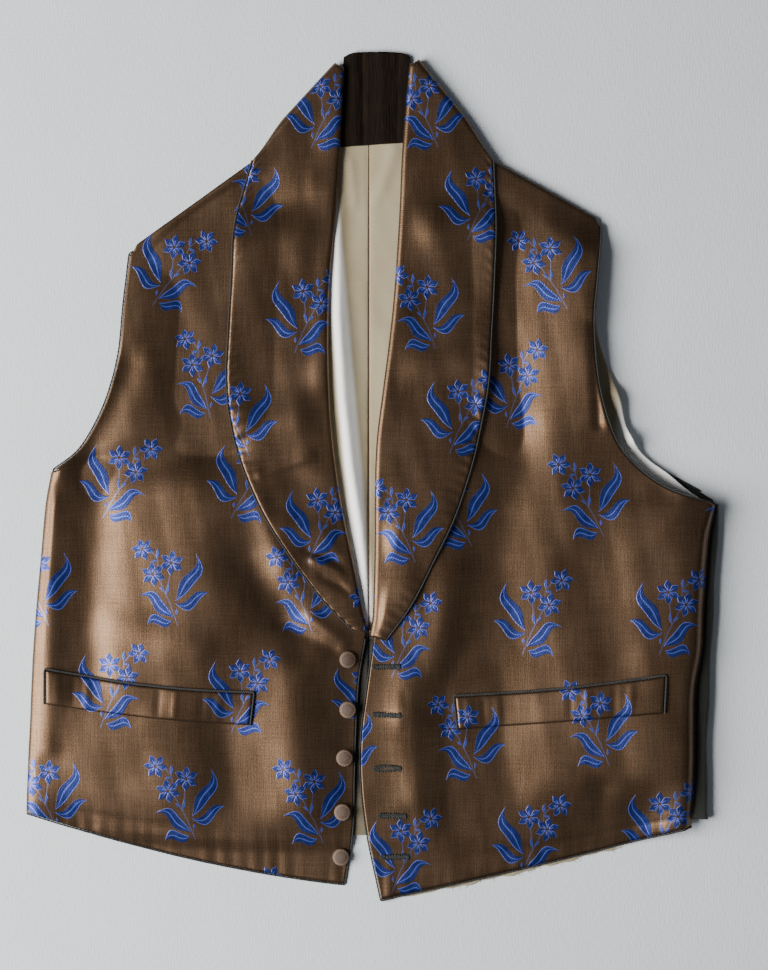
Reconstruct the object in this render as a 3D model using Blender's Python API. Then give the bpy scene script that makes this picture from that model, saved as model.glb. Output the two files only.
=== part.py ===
"""A man's waistcoat of about 1850, laid flat on its back with the fronts and shawl collar uppermost.

+X is to the right of someone looking down at it with the neck away from them, which is the wearer's
left, +Y runs to the neck and +Z up from the surface it lies on. The tables are in millimetres from the
middle of the garment's box. Right and left in the names are the wearer's.
"""

import math
from collections import namedtuple

import bpy
from mathutils import Vector
from mathutils.bvhtree import BVHTree

MM = 0.001

# Cloth walls, the gap that stays between pieces, and the piping.
COTTON = 1.0
SILK = 1.8
COLLAR = 1.5
FACING = 1.1
WELT = 1.5
GAP = 0.3
CLEAR = 0.4
PIPING_R = 0.8
PIPING_ROOM = 2 * PIPING_R + GAP

# Heights of the middle of each layer where it lies flat.
SHELL_Z = COTTON / 2
LINING_Z = COTTON + GAP + COTTON / 2
LINING_TOP = COTTON + GAP + COTTON
FRONT_Z = LINING_TOP + CLEAR + SILK / 2
HEM_Z = SILK / 2 + 0.05
FACED_HEM_Z = COTTON + CLEAR + SILK / 2
EDGE_Z = 4.0
ROLL_Z = 6.6
SIDE_Z = 7.8
ARMHOLE_Z = 4.6
PUFF = 3.4

# The turned edges: how far a fold bulges, and how far the cloth runs on beyond it.
SIDE_BULGE = 6.5
SIDE_RUN = 12.0
STRIP_BULGE = 2.6
STRIP_Z = 8.0
SEAM_ROOM = 0.35
TURN_COLUMNS = 4
ROLL_BULGE = 3.2
ROLL_RUN, ROLL_RUN_END = 9.0, 0.9
LEAF_CROWN = 0.9
LEAF_FOLD_FADE = 3.0
NECK_BULGE = 4.5
NECK_OUT = (0.72, 0.69)
NECK_CLEAR = 0.2

ROWS_TO_COLLAR_END = 20
ROWS_BELOW = 10
COLLAR_COLUMNS = 4
FRONT_COLUMNS = 10

# One row for each section across a front, from the shoulder seam down to the hem: the roll line or front
# edge, the collar's outer edge or a line that carries it on below, and the armhole or side.
Section = namedtuple("Section", "edge_x edge_y collar_x collar_y side_x side_y")
RIGHT_FRONT = (
    Section(-21.0, 307.0, -89.5, 237.0, -183.0, 170.0),
    Section(-24.0, 247.0, -102.0, 191.5, -187.5, 129.5),
    Section(-27.7, 197.0, -105.0, 148.0, -191.2, 92.0),
    Section(-32.2, 144.5, -107.6, 103.0, -201.7, 54.5),
    Section(-33.0, 107.0, -108.8, 74.5, -219.7, 21.5),
    Section(-32.3, 69.5, -106.5, 47.0, -240.8, 4.0),
    Section(-30.0, 32.0, -99.0, 14.5, -245.2, -20.5),
    Section(-24.0, -14.5, -83.2, -23.0, -248.6, -58.0),
    Section(-16.5, -53.0, -63.8, -55.0, -252.0, -95.5),
    Section(-9.8, -87.4, -38.2, -89.6, -254.6, -131.0),
    Section(-4.0, -117.4, -12.6, -115.5, -256.1, -163.0),
    Section(-9.4, -150.4, -24.8, -149.0, -256.9, -183.4),
    Section(-11.6, -185.6, -27.0, -183.4, -258.0, -204.4),
    Section(-12.8, -223.1, -28.1, -220.1, -258.7, -223.1),
    Section(-13.9, -264.4, -29.2, -260.6, -259.3, -238.1),
    Section(-19.9, -306.4, -35.2, -303.4, -259.5, -251.6),
)
LEFT_FRONT = (
    Section(27.0, 309.5, 89.5, 237.0, 172.5, 190.9),
    Section(21.8, 247.0, 91.2, 191.5, 168.0, 144.4),
    Section(19.5, 197.0, 90.0, 148.0, 165.8, 114.4),
    Section(15.8, 140.6, 87.8, 104.6, 169.5, 70.1),
    Section(12.0, 103.1, 85.5, 69.4, 180.0, 32.6),
    Section(7.5, 67.9, 79.5, 35.6, 195.8, 10.1),
    Section(2.6, 28.1, 72.8, 7.1, 221.3, -8.6),
    Section(1.2, -9.4, 60.8, -28.9, 254.9, -19.9),
    Section(1.1, -46.9, 45.0, -61.9, 251.3, -55.9),
    Section(0.4, -80.6, 28.5, -94.1, 248.3, -95.6),
    Section(-0.8, -121.9, 7.4, -123.6, 246.8, -127.9),
    Section(-6.0, -159.4, 9.8, -157.1, 242.3, -155.6),
    Section(-10.1, -192.4, 5.3, -190.1, 241.5, -180.4),
    Section(-10.5, -225.4, 5.3, -222.4, 241.5, -205.9),
    Section(-6.0, -265.9, 9.8, -262.1, 240.4, -232.9),
    Section(4.5, -318.4, 19.5, -314.6, 238.1, -262.1),
)
RIGHT_UNDERARM, LEFT_UNDERARM = 5, 7
COLLAR_END = 10
HEM = 15
RIGHT_HEM_BOW, LEFT_HEM_BOW = 7.0, 2.2

# One row for each section across the back: its height, and how far each half reaches from the seam.
BackSection = namedtuple("BackSection", "y right_x left_x")
Trims = namedtuple("Trims", "armhole side")
BACK = (
    BackSection(299.0, -20.0, 24.0),
    BackSection(268.0, -53.0, 55.0),
    BackSection(236.0, -88.0, 88.0),
    BackSection(203.0, -134.0, 147.0),
    BackSection(172.0, -178.0, 168.0),
    BackSection(130.0, -184.0, 166.5),
    BackSection(96.0, -187.0, 171.6),
    BackSection(62.0, -195.0, 184.6),
    BackSection(36.0, -206.0, 190.8),
    BackSection(12.0, -215.0, 208.4),
    BackSection(-20.0, -224.0, 259.5),
    BackSection(-60.0, -227.0, 257.4),
    BackSection(-120.0, -231.5, 253.6),
    BackSection(-180.0, -236.0, 250.6),
    BackSection(-225.0, -238.0, 250.4),
    BackSection(-255.0, -238.8, 251.6),
)
LEFT_SHELL_TRIMS = Trims(PIPING_ROOM, 0.0)
LEFT_LINING_TRIMS = Trims(3.0, 8.0)
BACK_UNDERARM = 10
BACK_CORNERS = (4, BACK_UNDERARM)
BACK_UPPER_ROWS, BACK_LOWER_ROWS = 11, 7
BACK_COLUMNS = 6
SHELL_TOP = 2
LINING_STEPS = 3
LINING_INSET = 1.5
RIDGE_STEP = 2.8
CENTRE_SEAM_X = -3.0
BACK_HEM_Y = -268.0
BACK_HEM_RISE = 12.0
BACK_HEM_HALF = 246.0
HEM_DROP = 14.0
HEM_CLEAR = 2.0
FOLD_FADE = 2.2

# Folds in the cloth: the line of each crest or trough, its half width and its rise.
Fold = namedtuple("Fold", "x0 y0 x1 y1 width rise")
RIGHT_FOLDS = (
    Fold(-152.0, 22.0, -158.0, -108.0, 22.0, 3.2),
    Fold(-216.0, -8.0, -221.0, -215.0, 15.0, -2.6),
    Fold(-96.0, -60.0, -56.0, -120.0, 14.0, -2.4),
    Fold(-158.0, 104.0, -166.0, 42.0, 15.0, -2.2),
    Fold(-178.0, 84.0, -203.0, 26.0, 9.0, 1.8),
    Fold(-118.0, -150.0, -96.0, -225.0, 20.0, 2.0),
    Fold(-60.0, -150.0, -52.0, -240.0, 16.0, -1.8),
    Fold(-188.0, -190.0, -150.0, -240.0, 18.0, 1.8),
)
LEFT_FOLDS = (
    Fold(148.0, 128.0, 152.0, 20.0, 20.0, 2.6),
    Fold(103.0, 34.0, 105.0, -152.0, 18.0, -2.4),
    Fold(62.0, -155.0, 62.0, -228.0, 13.0, -2.4),
    Fold(35.0, -148.0, 35.0, -242.0, 8.0, 2.4),
    Fold(200.0, -60.0, 208.0, -205.0, 24.0, 2.6),
    Fold(140.0, -245.0, 190.0, -240.0, 16.0, -1.4),
    Fold(110.0, -205.0, 96.0, -262.0, 16.0, 1.6),
)
RIGHT_COLLAR_FOLDS = (
    Fold(-45.0, 164.0, -92.0, 160.0, 17.0, 2.0),
    Fold(-48.0, 88.0, -92.0, 98.0, 18.0, 1.2),
    Fold(-44.0, 24.0, -88.0, 34.0, 13.0, 2.2),
    Fold(-32.0, -20.0, -66.0, -6.0, 10.0, 1.4),
)
LEFT_COLLAR_FOLDS = (
    Fold(32.0, 152.0, 76.0, 140.0, 22.0, 2.2),
    Fold(28.0, 74.0, 70.0, 68.0, 16.0, 1.4),
    Fold(18.0, 2.0, 58.0, 12.0, 18.0, 2.0),
    Fold(14.0, -58.0, 34.0, -50.0, 14.0, 1.2),
)

# The long fold in the lining that shows inside the V, from the collar down to the top button.
Ridge = namedtuple("Ridge", "y x rise width")
LINING_RIDGE = (
    Ridge(200.0, -20.0, 0.0, 3.4),
    Ridge(168.0, -22.5, 1.6, 3.4),
    Ridge(120.0, -23.5, 2.8, 3.4),
    Ridge(60.0, -21.5, 3.2, 3.6),
    Ridge(10.0, -15.5, 3.0, 3.4),
    Ridge(-40.0, -9.5, 2.6, 3.0),
    Ridge(-85.0, -5.0, 1.4, 2.2),
    Ridge(-110.0, -3.2, 0.0, 2.0),
)

# The collar round the back of the neck, on the underside: how far it falls at the centre back.
COLLAR_BACK_FALL_Y = 258.0
COLLAR_BACK_BOW = 17.0
COLLAR_BACK_HALF = 90.0
COLLAR_BACK_ROWS = 5
COLLAR_BACK_COLUMNS = 10
NECK_TOP_RISE = 10.0
NECK_TOP_WIDTH = 1.2

# How far the lining's edge lies inside the left front's hem, and how far its raw edge comes below it.
FACED_HEM = (5.0, 1.0, -2.0 - PIPING_ROOM)

# Piping at the collar's edge lies a little higher than the leaf's middle, clear of the front.
PIPING_LIFT = 0.25

# Welts: left and right ends of the top and bottom edges, and how far the middle sags.
WeltShape = namedtuple("WeltShape", "left_x left_y right_x right_y sag")
RIGHT_WELT_TOP = WeltShape(-244.0, -143.5, -89.5, -161.0, -3.6)
RIGHT_WELT_BOTTOM = WeltShape(-244.0, -169.0, -92.5, -185.0, -2.0)
LEFT_WELT_TOP = WeltShape(61.5, -164.0, 217.0, -147.5, -2.4)
LEFT_WELT_BOTTOM = WeltShape(64.0, -188.5, 215.5, -175.0, -0.6)
WELT_COLUMNS, WELT_ROWS = 12, 3
WELT_REST = 0.45
WELT_CROWN = 0.6

BUTTON_D = 12.7
BUTTON_H = 4.4
BUTTON_SIDES = 14
Place = namedtuple("Place", "x y")
BUTTONS = (
    Place(-18.7, -136.0),
    Place(-18.8, -173.5),
    Place(-21.2, -209.5),
    Place(-22.8, -250.0),
    Place(-24.0, -284.0),
)
Ring = namedtuple("Ring", "radius height")
BUTTON_PROFILE = (Ring(0.5, 0.0), Ring(0.96, 0.3), Ring(1.0, 0.55), Ring(0.78, 0.88), Ring(0.36, 1.0))
BUTTONHOLE_LENGTH = 19.0
BUTTONHOLE_WIDTH = 2.6
HOLE_END_STEPS, HOLE_SIDE_STEPS = 4, 4
BUTTONHOLES = (
    Place(9.0, -141.5),
    Place(9.4, -177.5),
    Place(9.8, -217.5),
    Place(13.5, -253.0),
    Place(15.5, -284.0),
)
STITCH_R = 0.55

FACING_TOP_Y = 318.6
FACING_END_Y = 249.0
FACING_SLANT = 3.5
FACING_STEPS = 6

COLOURS = {
    "silk": (0.22, 0.14, 0.09, 1.0),
    "back_cotton": (0.03, 0.035, 0.025, 1.0),
    "lining_cotton": (0.66, 0.60, 0.46, 1.0),
    "facing_cloth": (0.02, 0.012, 0.008, 1.0),
    "piping_cord": (0.015, 0.016, 0.018, 1.0),
    "button_silk": (0.16, 0.09, 0.06, 1.0),
    "buttonhole_thread": (0.02, 0.035, 0.03, 1.0),
}
ROUGHNESS = {"silk": 0.45, "button_silk": 0.5}
COTTON_ROUGHNESS = 0.9
SHARP_ANGLE = math.radians(50)


def clear_scene():
    for thing in list(bpy.data.objects):
        bpy.data.objects.remove(thing, do_unlink=True)


def material(name):
    found = bpy.data.materials.get(name)
    if found:
        return found
    made = bpy.data.materials.new(name)
    made.use_nodes = True
    shader = made.node_tree.nodes["Principled BSDF"]
    shader.inputs["Base Color"].default_value = COLOURS[name]
    shader.inputs["Roughness"].default_value = ROUGHNESS.get(name, COTTON_ROUGHNESS)
    shader.inputs["Metallic"].default_value = 0.0
    return made


def smooth(t):
    t = min(1.0, max(0.0, t))
    return t * t * (3.0 - 2.0 * t)


def mix(a, b, t):
    return a + (b - a) * t


def change(value, middle, length):
    """A soft step from 0 to 1 about the middle, over a length."""
    return smooth((value - middle) / length + 0.5)


def bulge_at(share):
    """A bulge that is 0 at both ends and 1 half way."""
    return 4.0 * share * (1.0 - share)


def through(values, t, corners=()):
    """The value at station t of a smooth line through the values, which may turn sharply at corners."""
    i = max(0, min(int(t), len(values) - 2))
    f = t - i
    here, there = values[i], values[i + 1]
    before = values[i - 1] if i > 0 and i not in corners else 2 * here - there
    after = values[i + 2] if i + 2 < len(values) and i + 1 not in corners else 2 * there - here
    bend = (2 * before - 5 * here + 4 * there - after) * f * f
    twist = (3 * here - before - 3 * there + after) * f ** 3
    return 0.5 * (2 * here + (there - before) * f + bend + twist)


def station(table, key, value):
    """The station of a table whose column falls from row to row, at which it takes a value."""
    column = [getattr(row, key) for row in table]
    for i in range(len(column) - 1):
        if column[i] >= value >= column[i + 1]:
            return i + (column[i] - value) / (column[i] - column[i + 1])
    return 0.0 if value > column[0] else len(column) - 1.0


def rise_of(folds, x, y):
    """How far a set of folds lifts the cloth at a point."""
    total = 0.0
    for fold in folds:
        run = Vector((fold.x1 - fold.x0, fold.y1 - fold.y0))
        to_point = Vector((x - fold.x0, y - fold.y0))
        share = min(1.0, max(0.0, to_point.dot(run) / run.length_squared))
        away = (to_point - run * share).length
        total += fold.rise * math.exp(-((away / fold.width) ** 2))
    return total


def collar_fall(x):
    """The lower edge of the collar on the underside, across the back."""
    return COLLAR_BACK_FALL_Y - COLLAR_BACK_BOW * (x / COLLAR_BACK_HALF) ** 2


def back_hem(x):
    return BACK_HEM_Y + BACK_HEM_RISE * ((x - CENTRE_SEAM_X) / BACK_HEM_HALF) ** 2


def mesh_object(name, points, faces, surface):
    """A closed solid from points in millimetres, with its faces turned out."""
    volume = 0.0
    for face in faces:
        for k in range(1, len(face) - 1):
            a, b, c = points[face[0]], points[face[k]], points[face[k + 1]]
            volume += a.dot(b.cross(c))
    if volume < 0:
        faces = [tuple(reversed(face)) for face in faces]
    mesh = bpy.data.meshes.new(name)
    mesh.from_pydata([p * MM for p in points], [], faces)
    mesh.validate()
    made = bpy.data.objects.new(name, mesh)
    mesh.materials.append(material(surface))
    bpy.context.scene.collection.objects.link(made)
    mesh.shade_smooth()
    mesh.set_sharp_from_angle(angle=SHARP_ANGLE)
    return made


def grid_normals(grid):
    """The normal at each point of a grid, from its neighbours along the rows and columns."""
    normals = []
    for i, line in enumerate(grid):
        row = []
        for j, here in enumerate(line):
            if here is None:
                row.append(None)
                continue
            above = grid[i - 1][j] if i > 0 and grid[i - 1][j] is not None else here
            below = grid[i + 1][j] if i + 1 < len(grid) and grid[i + 1][j] is not None else here
            left = line[j - 1] if j > 0 and line[j - 1] is not None else here
            right = line[j + 1] if j + 1 < len(line) and line[j + 1] is not None else here
            row.append((below - above).cross(right - left).normalized())
        normals.append(row)
    return normals


def wall(name, grid, thickness, surface):
    """A cloth wall about the middle surface that a grid gives. Where the grid has None, there is no cloth."""
    normals = grid_normals(grid)
    half = thickness / 2
    number = {}
    upper = []
    lower = []
    for i, line in enumerate(grid):
        for j, here in enumerate(line):
            if here is not None:
                number[i, j] = len(upper)
                upper.append(here + normals[i][j] * half)
                lower.append(here - normals[i][j] * half)
    faces = []
    edges = set()
    other = len(upper)
    for i in range(len(grid) - 1):
        for j in range(len(grid[0]) - 1):
            cell = [number.get(key) for key in ((i, j), (i, j + 1), (i + 1, j + 1), (i + 1, j))]
            if None in cell:
                continue
            a, b, c, d = cell
            faces += [(a, b, c), (a, c, d)]
            faces += [(other + c, other + b, other + a), (other + d, other + c, other + a)]
            edges.update(((a, b), (b, c), (c, d), (d, a)))
    for a, b in edges:
        if (b, a) not in edges:
            faces += [(b, a, other + a), (b, other + a, other + b)]
    faces.sort()
    return mesh_object(name, upper + lower, faces, surface)


def cord(name, path, radius, surface, sides=6, closed=False):
    """A round cord along a path of points, closed on itself or with flat ends."""
    points = []
    count = len(path)
    for i, here in enumerate(path):
        ahead = path[(i + 1) % count] if closed else path[min(i + 1, count - 1)]
        behind = path[i - 1] if closed or i > 0 else path[0]
        along = (ahead - behind).normalized()
        side = along.cross(Vector((0, 0, 1))).normalized()
        up = side.cross(along)
        for k in range(sides):
            turn = 2 * math.pi * (k + 0.5) / sides
            points.append(here + (side * math.cos(turn) + up * math.sin(turn)) * radius)
    faces = []
    for i in range(count if closed else count - 1):
        for k in range(sides):
            a, b = i * sides + k, i * sides + (k + 1) % sides
            c, d = ((i + 1) % count) * sides + (k + 1) % sides, ((i + 1) % count) * sides + k
            faces += [(a, b, c), (a, c, d)]
    if not closed:
        last = (count - 1) * sides
        faces.append(tuple(range(sides - 1, -1, -1)))
        faces.append(tuple(last + k for k in range(sides)))
    mesh_object(name, points, faces, surface)


def moved_out(line, distance, turn):
    """A line of points moved sideways in plan, to its left (turn 1) or right (turn -1)."""
    moved = []
    for i, here in enumerate(line):
        before = (here - line[i - 1]).to_2d().normalized() if i > 0 else None
        after = (line[i + 1] - here).to_2d().normalized() if i < len(line) - 1 else None
        along = (before or after) + (after or before)
        square = max(0.5, along.length / 2)
        along.normalize()
        out = Vector((-along.y, along.x, 0.0)) * turn
        moved.append(here + out * distance / square)
    return moved


def turned_under(start, out, top, bottom, bulge, run, step):
    """A point of a fold: steps round a half ellipse from top to bottom, and one more along the run."""
    angle = math.pi * min(step, TURN_COLUMNS) / TURN_COLUMNS
    away = bulge * math.sin(angle) - (run if step > TURN_COLUMNS else 0.0)
    drop = (top - bottom) / 2
    return Vector((start.x + out.x * away, start.y + out.y * away, top - drop + drop * math.cos(angle)))


class Front:
    """One front: where each point of its middle surface lies, from its sections and folds."""

    def __init__(self, sections, underarm, sign, folds, hem_bow, hem_z):
        self.sections = sections
        self.underarm = underarm
        self.sign = sign
        self.folds = folds
        self.hem_bow = hem_bow
        self.hem_z = hem_z
        self.turned = sign < 0

    def corners(self, key):
        return (self.underarm,) if key.startswith("side") else (COLLAR_END,)

    def at(self, key, v):
        return through([getattr(row, key) for row in self.sections], v, self.corners(key))

    def ends(self, v):
        """The section's three points in plan, clear of the piping, the roll and the neighbour's seam."""
        edge = Vector((self.at("edge_x", v), self.at("edge_y", v)))
        collar = Vector((self.at("collar_x", v), self.at("collar_y", v)))
        side = Vector((self.at("side_x", v), self.at("side_y", v)))
        edge.x += self.sign * mix(ROLL_BULGE + COLLAR / 2, PIPING_ROOM, change(v, COLLAR_END - 0.25, 0.5))
        out = (side - collar).normalized()
        on_side = change(v, self.underarm - 0.12, 0.24)
        side = side - out * mix(PIPING_ROOM, SILK / 2 if self.turned else SEAM_ROOM, on_side)
        lift = Vector((0.0, PIPING_ROOM * max(0.0, v - HEM + 1)))
        return edge + lift, collar + lift, side + lift

    def level(self, v, share, x, y):
        """The height of the middle surface at a share of the way from the edge to the side."""
        edge_level = mix(ROLL_Z, EDGE_Z, change(v, COLLAR_END + 0.2, 1.6))
        at_side = change(v, self.underarm + 0.1, 1.4)
        side_level = mix(ARMHOLE_Z, SIDE_Z, at_side)
        shoulder = change(v, 0.8, 1.6)
        hem = 1.0 - change(v, HEM - 0.9, 1.8)
        hem = mix(hem, 1.0, change(share, 0.89, 0.18) * at_side)
        body = mix(edge_level, side_level, smooth(share)) - FRONT_Z
        middle = bulge_at(share)
        puff = (PUFF * middle + rise_of(self.folds, x, y) * smooth(middle * FOLD_FADE)) * shoulder
        over_back = change(y, back_hem(x) - HEM_DROP / 2 - HEM_CLEAR, HEM_DROP)
        ground = mix(self.hem_z, FRONT_Z, over_back)
        return ground + max(0.0, body + puff) * hem

    def point(self, v, column):
        """A point of the middle surface: edge to collar line, on to the side, then round under it."""
        edge, collar, side = self.ends(v)
        out = (side - collar).normalized()
        turned = self.turned and v >= self.underarm
        whole = (collar - edge).length + (side - collar).length
        fold = side - out * SIDE_BULGE if turned else side
        beyond = column - COLLAR_COLUMNS - FRONT_COLUMNS
        if beyond > 0:
            top = self.level(v, 1.0, side.x, side.y)
            return turned_under(fold, out, top, HEM_Z, SIDE_BULGE, SIDE_RUN, beyond) if turned else None
        if column <= COLLAR_COLUMNS:
            place = edge.lerp(collar, column / COLLAR_COLUMNS)
            share = (place - edge).length / whole
        else:
            place = collar.lerp(fold, (column - COLLAR_COLUMNS) / FRONT_COLUMNS)
            share = ((collar - edge).length + (place - collar).length) / whole
        bow = self.hem_bow * change(v, HEM - 1.25, 2.5) * bulge_at(share)
        return Vector((place.x, place.y - bow, self.level(v, share, place.x, place.y - bow)))

    def columns(self):
        return COLLAR_COLUMNS + FRONT_COLUMNS + (TURN_COLUMNS + 1 if self.turned else 0)

    def stations(self):
        upper = [COLLAR_END * i / ROWS_TO_COLLAR_END for i in range(ROWS_TO_COLLAR_END)]
        lower = [mix(COLLAR_END, HEM, i / ROWS_BELOW) for i in range(ROWS_BELOW + 1)]
        return upper + lower

    def grid(self):
        return [[self.point(v, j) for j in range(self.columns() + 1)] for v in self.stations()]


class Surface:
    """The upper face of a solid, which the pieces on it are laid on."""

    def __init__(self, solid):
        mesh = solid.data
        corners = [v.co / MM for v in mesh.vertices]
        self.tree = BVHTree.FromPolygons(corners, [tuple(p.vertices) for p in mesh.polygons])

    def height(self, x, y):
        above = Vector((x, y, 10 * SIDE_Z))
        place, normal, index, away = self.tree.ray_cast(above, Vector((0, 0, -1)))
        return place.z if place else None


def collar_leaf(name, front, grid, folds):
    """A collar leaf: on the front's own points, round the roll line and a little way in under it."""
    leaf = []
    for i, v in enumerate(front.stations()):
        if v >= COLLAR_END:
            break
        row = []
        for j in range(COLLAR_COLUMNS, -1, -1):
            place = grid[i][j]
            share = j / COLLAR_COLUMNS
            lift = SILK / 2 + CLEAR + COLLAR / 2 + LEAF_CROWN * bulge_at(share)
            lift += rise_of(folds, place.x, place.y) * smooth(share * LEAF_FOLD_FADE)
            row.append(place + Vector((0, 0, lift)))
        top = row[-1]
        toward = Vector((-front.sign, 0.0, 0.0))
        bottom = LINING_TOP + CLEAR + COLLAR / 2
        run = mix(ROLL_RUN_END, ROLL_RUN, change(v, 0.6, 1.5) * (1 - change(v, COLLAR_END - 0.4, 1.5)))
        for k in range(1, TURN_COLUMNS + 2):
            row.append(turned_under(top, toward, top.z, bottom, ROLL_BULGE, run, k))
        leaf.append(row)
    wall(name, leaf, COLLAR, "silk")
    return leaf


def collar_back(leaves):
    """The collar round the back of the neck: flat under the back, turned up over both neck edges."""
    right_edge, left_edge = leaves
    low = COTTON / 2
    grid = []
    for i in range(COLLAR_BACK_ROWS + 1):
        share = i / COLLAR_BACK_ROWS
        right = through_points(right_edge, share)
        left = through_points(left_edge, share)
        row = []
        for place, sign in ((right, -1), (left, 1)):
            out = Vector((sign * NECK_OUT[0], NECK_OUT[1], 0.0))
            start = place + out * (GAP + NECK_CLEAR)
            steps = range(TURN_COLUMNS + 1)
            row.append([turned_under(start, out, start.z, low, NECK_BULGE, 0.0, k) for k in steps])
        right_turn, left_turn = row
        flat = []
        for k in range(1, COLLAR_BACK_COLUMNS):
            across = k / COLLAR_BACK_COLUMNS
            place = right_turn[-1].lerp(left_turn[-1], across)
            middle = bulge_at(across)
            bow = mix(COLLAR_BACK_BOW * middle, NECK_TOP_RISE * smooth(middle * NECK_TOP_WIDTH), share)
            flat.append(Vector((place.x, place.y + bow, low)))
        grid.append(right_turn + flat + list(reversed(left_turn)))
    wall("collar_back", grid, COTTON, "silk")


def through_points(line, share):
    """The point at a share of the way along a line of points."""
    at = share * (len(line) - 1)
    i = min(int(at), len(line) - 2)
    return line[i].lerp(line[i + 1], at - i)


def back_half(name, side, height, surface, trims, top, seam_line=None):
    """One half of the back's shell or lining. With a seam line, it turns up over the side to that seam."""
    sign = -1 if side == "right_x" else 1
    seam = CENTRE_SEAM_X + sign * GAP / 2
    steps = BACK_COLUMNS + (TURN_COLUMNS + 1 if seam_line else 0)
    grid = []
    for v in back_stations(top):
        turned = seam_line and v >= BACK_UNDERARM
        reach = through([getattr(row, side) for row in BACK], v, BACK_CORNERS)
        reach -= sign * mix(trims.armhole, trims.side, change(v, BACK_UNDERARM - 0.5, 0.6))
        flat_end = reach - sign * (STRIP_BULGE + COTTON / 2 if turned else 0.0)
        row = []
        for j in range(steps + 1):
            x = mix(seam, flat_end, min(1.0, j / BACK_COLUMNS))
            place = Vector((x, back_y(v, x, top), height))
            if j > BACK_COLUMNS:
                place = strip_point(place, seam_line, j - BACK_COLUMNS) if turned else None
            row.append(place)
        grid.append(row)
    wall(name, grid, COTTON, surface)


def strip_point(start, seam_line, step):
    """A point of the back's cotton where it turns up over the side and runs to the seam on top."""
    run = start.x - seam_line(start.y) - SEAM_ROOM
    return turned_under(start, Vector((1, 0)), start.z, STRIP_Z, STRIP_BULGE, run, step)


def back_y(v, x, top):
    """How far up a point of the back lies: level rows that bend to the collar's edge and the hem."""
    y = through([row.y for row in BACK], v)
    if top > 0:
        y += (collar_fall(x) - GAP - collar_fall(COLLAR_BACK_HALF)) * (1 - change(v, top + 1.0, 2.0))
    return mix(y, back_hem(x), change(v, len(BACK) - 2.5, 3.0))


def back_stations(top):
    """The sections of the back, with one right at the underarm corner."""
    upper = [mix(top, BACK_UNDERARM, i / BACK_UPPER_ROWS) for i in range(BACK_UPPER_ROWS)]
    lower = [mix(BACK_UNDERARM, len(BACK) - 1, i / BACK_LOWER_ROWS) for i in range(BACK_LOWER_ROWS + 1)]
    return upper + lower


def lining_right():
    """The right half of the lining, with the long fold that shows in the V."""
    grid = []
    seam = CENTRE_SEAM_X - GAP / 2
    for v in back_stations(0):
        y = back_y(v, seam, 0)
        reach = through([row.right_x for row in BACK], v, BACK_CORNERS) + LINING_INSET
        at = station(LINING_RIDGE, "y", y)
        crest = min(through([r.x for r in LINING_RIDGE], at), seam - RIDGE_STEP)
        rise = max(0.0, through([r.rise for r in LINING_RIDGE], at))
        width = through([r.width for r in LINING_RIDGE], at)
        foot = crest - 2 * RIDGE_STEP
        xs = [seam, mix(seam, crest, 0.5), mix(seam, crest, 0.75), crest, crest - RIDGE_STEP, foot]
        xs += [mix(foot, min(reach, foot - RIDGE_STEP), k / LINING_STEPS) for k in range(1, LINING_STEPS + 1)]
        row = []
        for x in xs:
            lift = rise * math.exp(-(((x - crest) / width) ** 2))
            row.append(Vector((x, back_y(v, x, 0), LINING_Z + lift)))
        grid.append(row)
    wall("back_lining_right", grid, COTTON, "lining_cotton")


def neck_facing(front_right, front_left):
    """The dark facing inside the back of the neck, between the two roll lines."""
    grid = []
    height = LINING_TOP + GAP + FACING / 2
    for i in range(FACING_STEPS + 1):
        row = []
        y = mix(FACING_TOP_Y, FACING_END_Y, i / FACING_STEPS)
        for j in range(FACING_STEPS + 1):
            x = mix(roll_x(front_right, y), roll_x(front_left, y), j / FACING_STEPS)
            slant = FACING_SLANT * (j / FACING_STEPS - 0.5) * (i / FACING_STEPS)
            row.append(Vector((x, y + slant, height)))
        grid.append(row)
    wall("neck_facing", grid, FACING, "facing_cloth")


def roll_x(front, y):
    """Where the roll line lies across at a given height."""
    v = station(front.sections, "edge_y", y)
    return front.at("edge_x", v)


def welt(name, surface, top, bottom):
    """A pocket welt laid on the front."""
    grid = []
    for i in range(WELT_ROWS + 1):
        down = i / WELT_ROWS
        row = []
        for j in range(WELT_COLUMNS + 1):
            share = j / WELT_COLUMNS
            high, low = welt_line(top, share), welt_line(bottom, share)
            place = high.lerp(low, down)
            rest = surface.height(place.x, place.y)
            crown = WELT_CROWN * bulge_at(down)
            row.append(Vector((place.x, place.y, rest + WELT_REST + WELT / 2 + crown)))
        grid.append(row)
    wall(name, grid, WELT, "silk")
    return grid


def welt_line(edge, share):
    sag = edge.sag * bulge_at(share)
    return Vector((mix(edge.left_x, edge.right_x, share), mix(edge.left_y, edge.right_y, share) + sag))


def resting_height(surface, place, reach):
    """The highest that a surface comes within a reach of a place."""
    steps = (-reach, 0.0, reach)
    found = [surface.height(place.x + dx, place.y + dy) for dx in steps for dy in steps]
    return max(height for height in found if height is not None)


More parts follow.
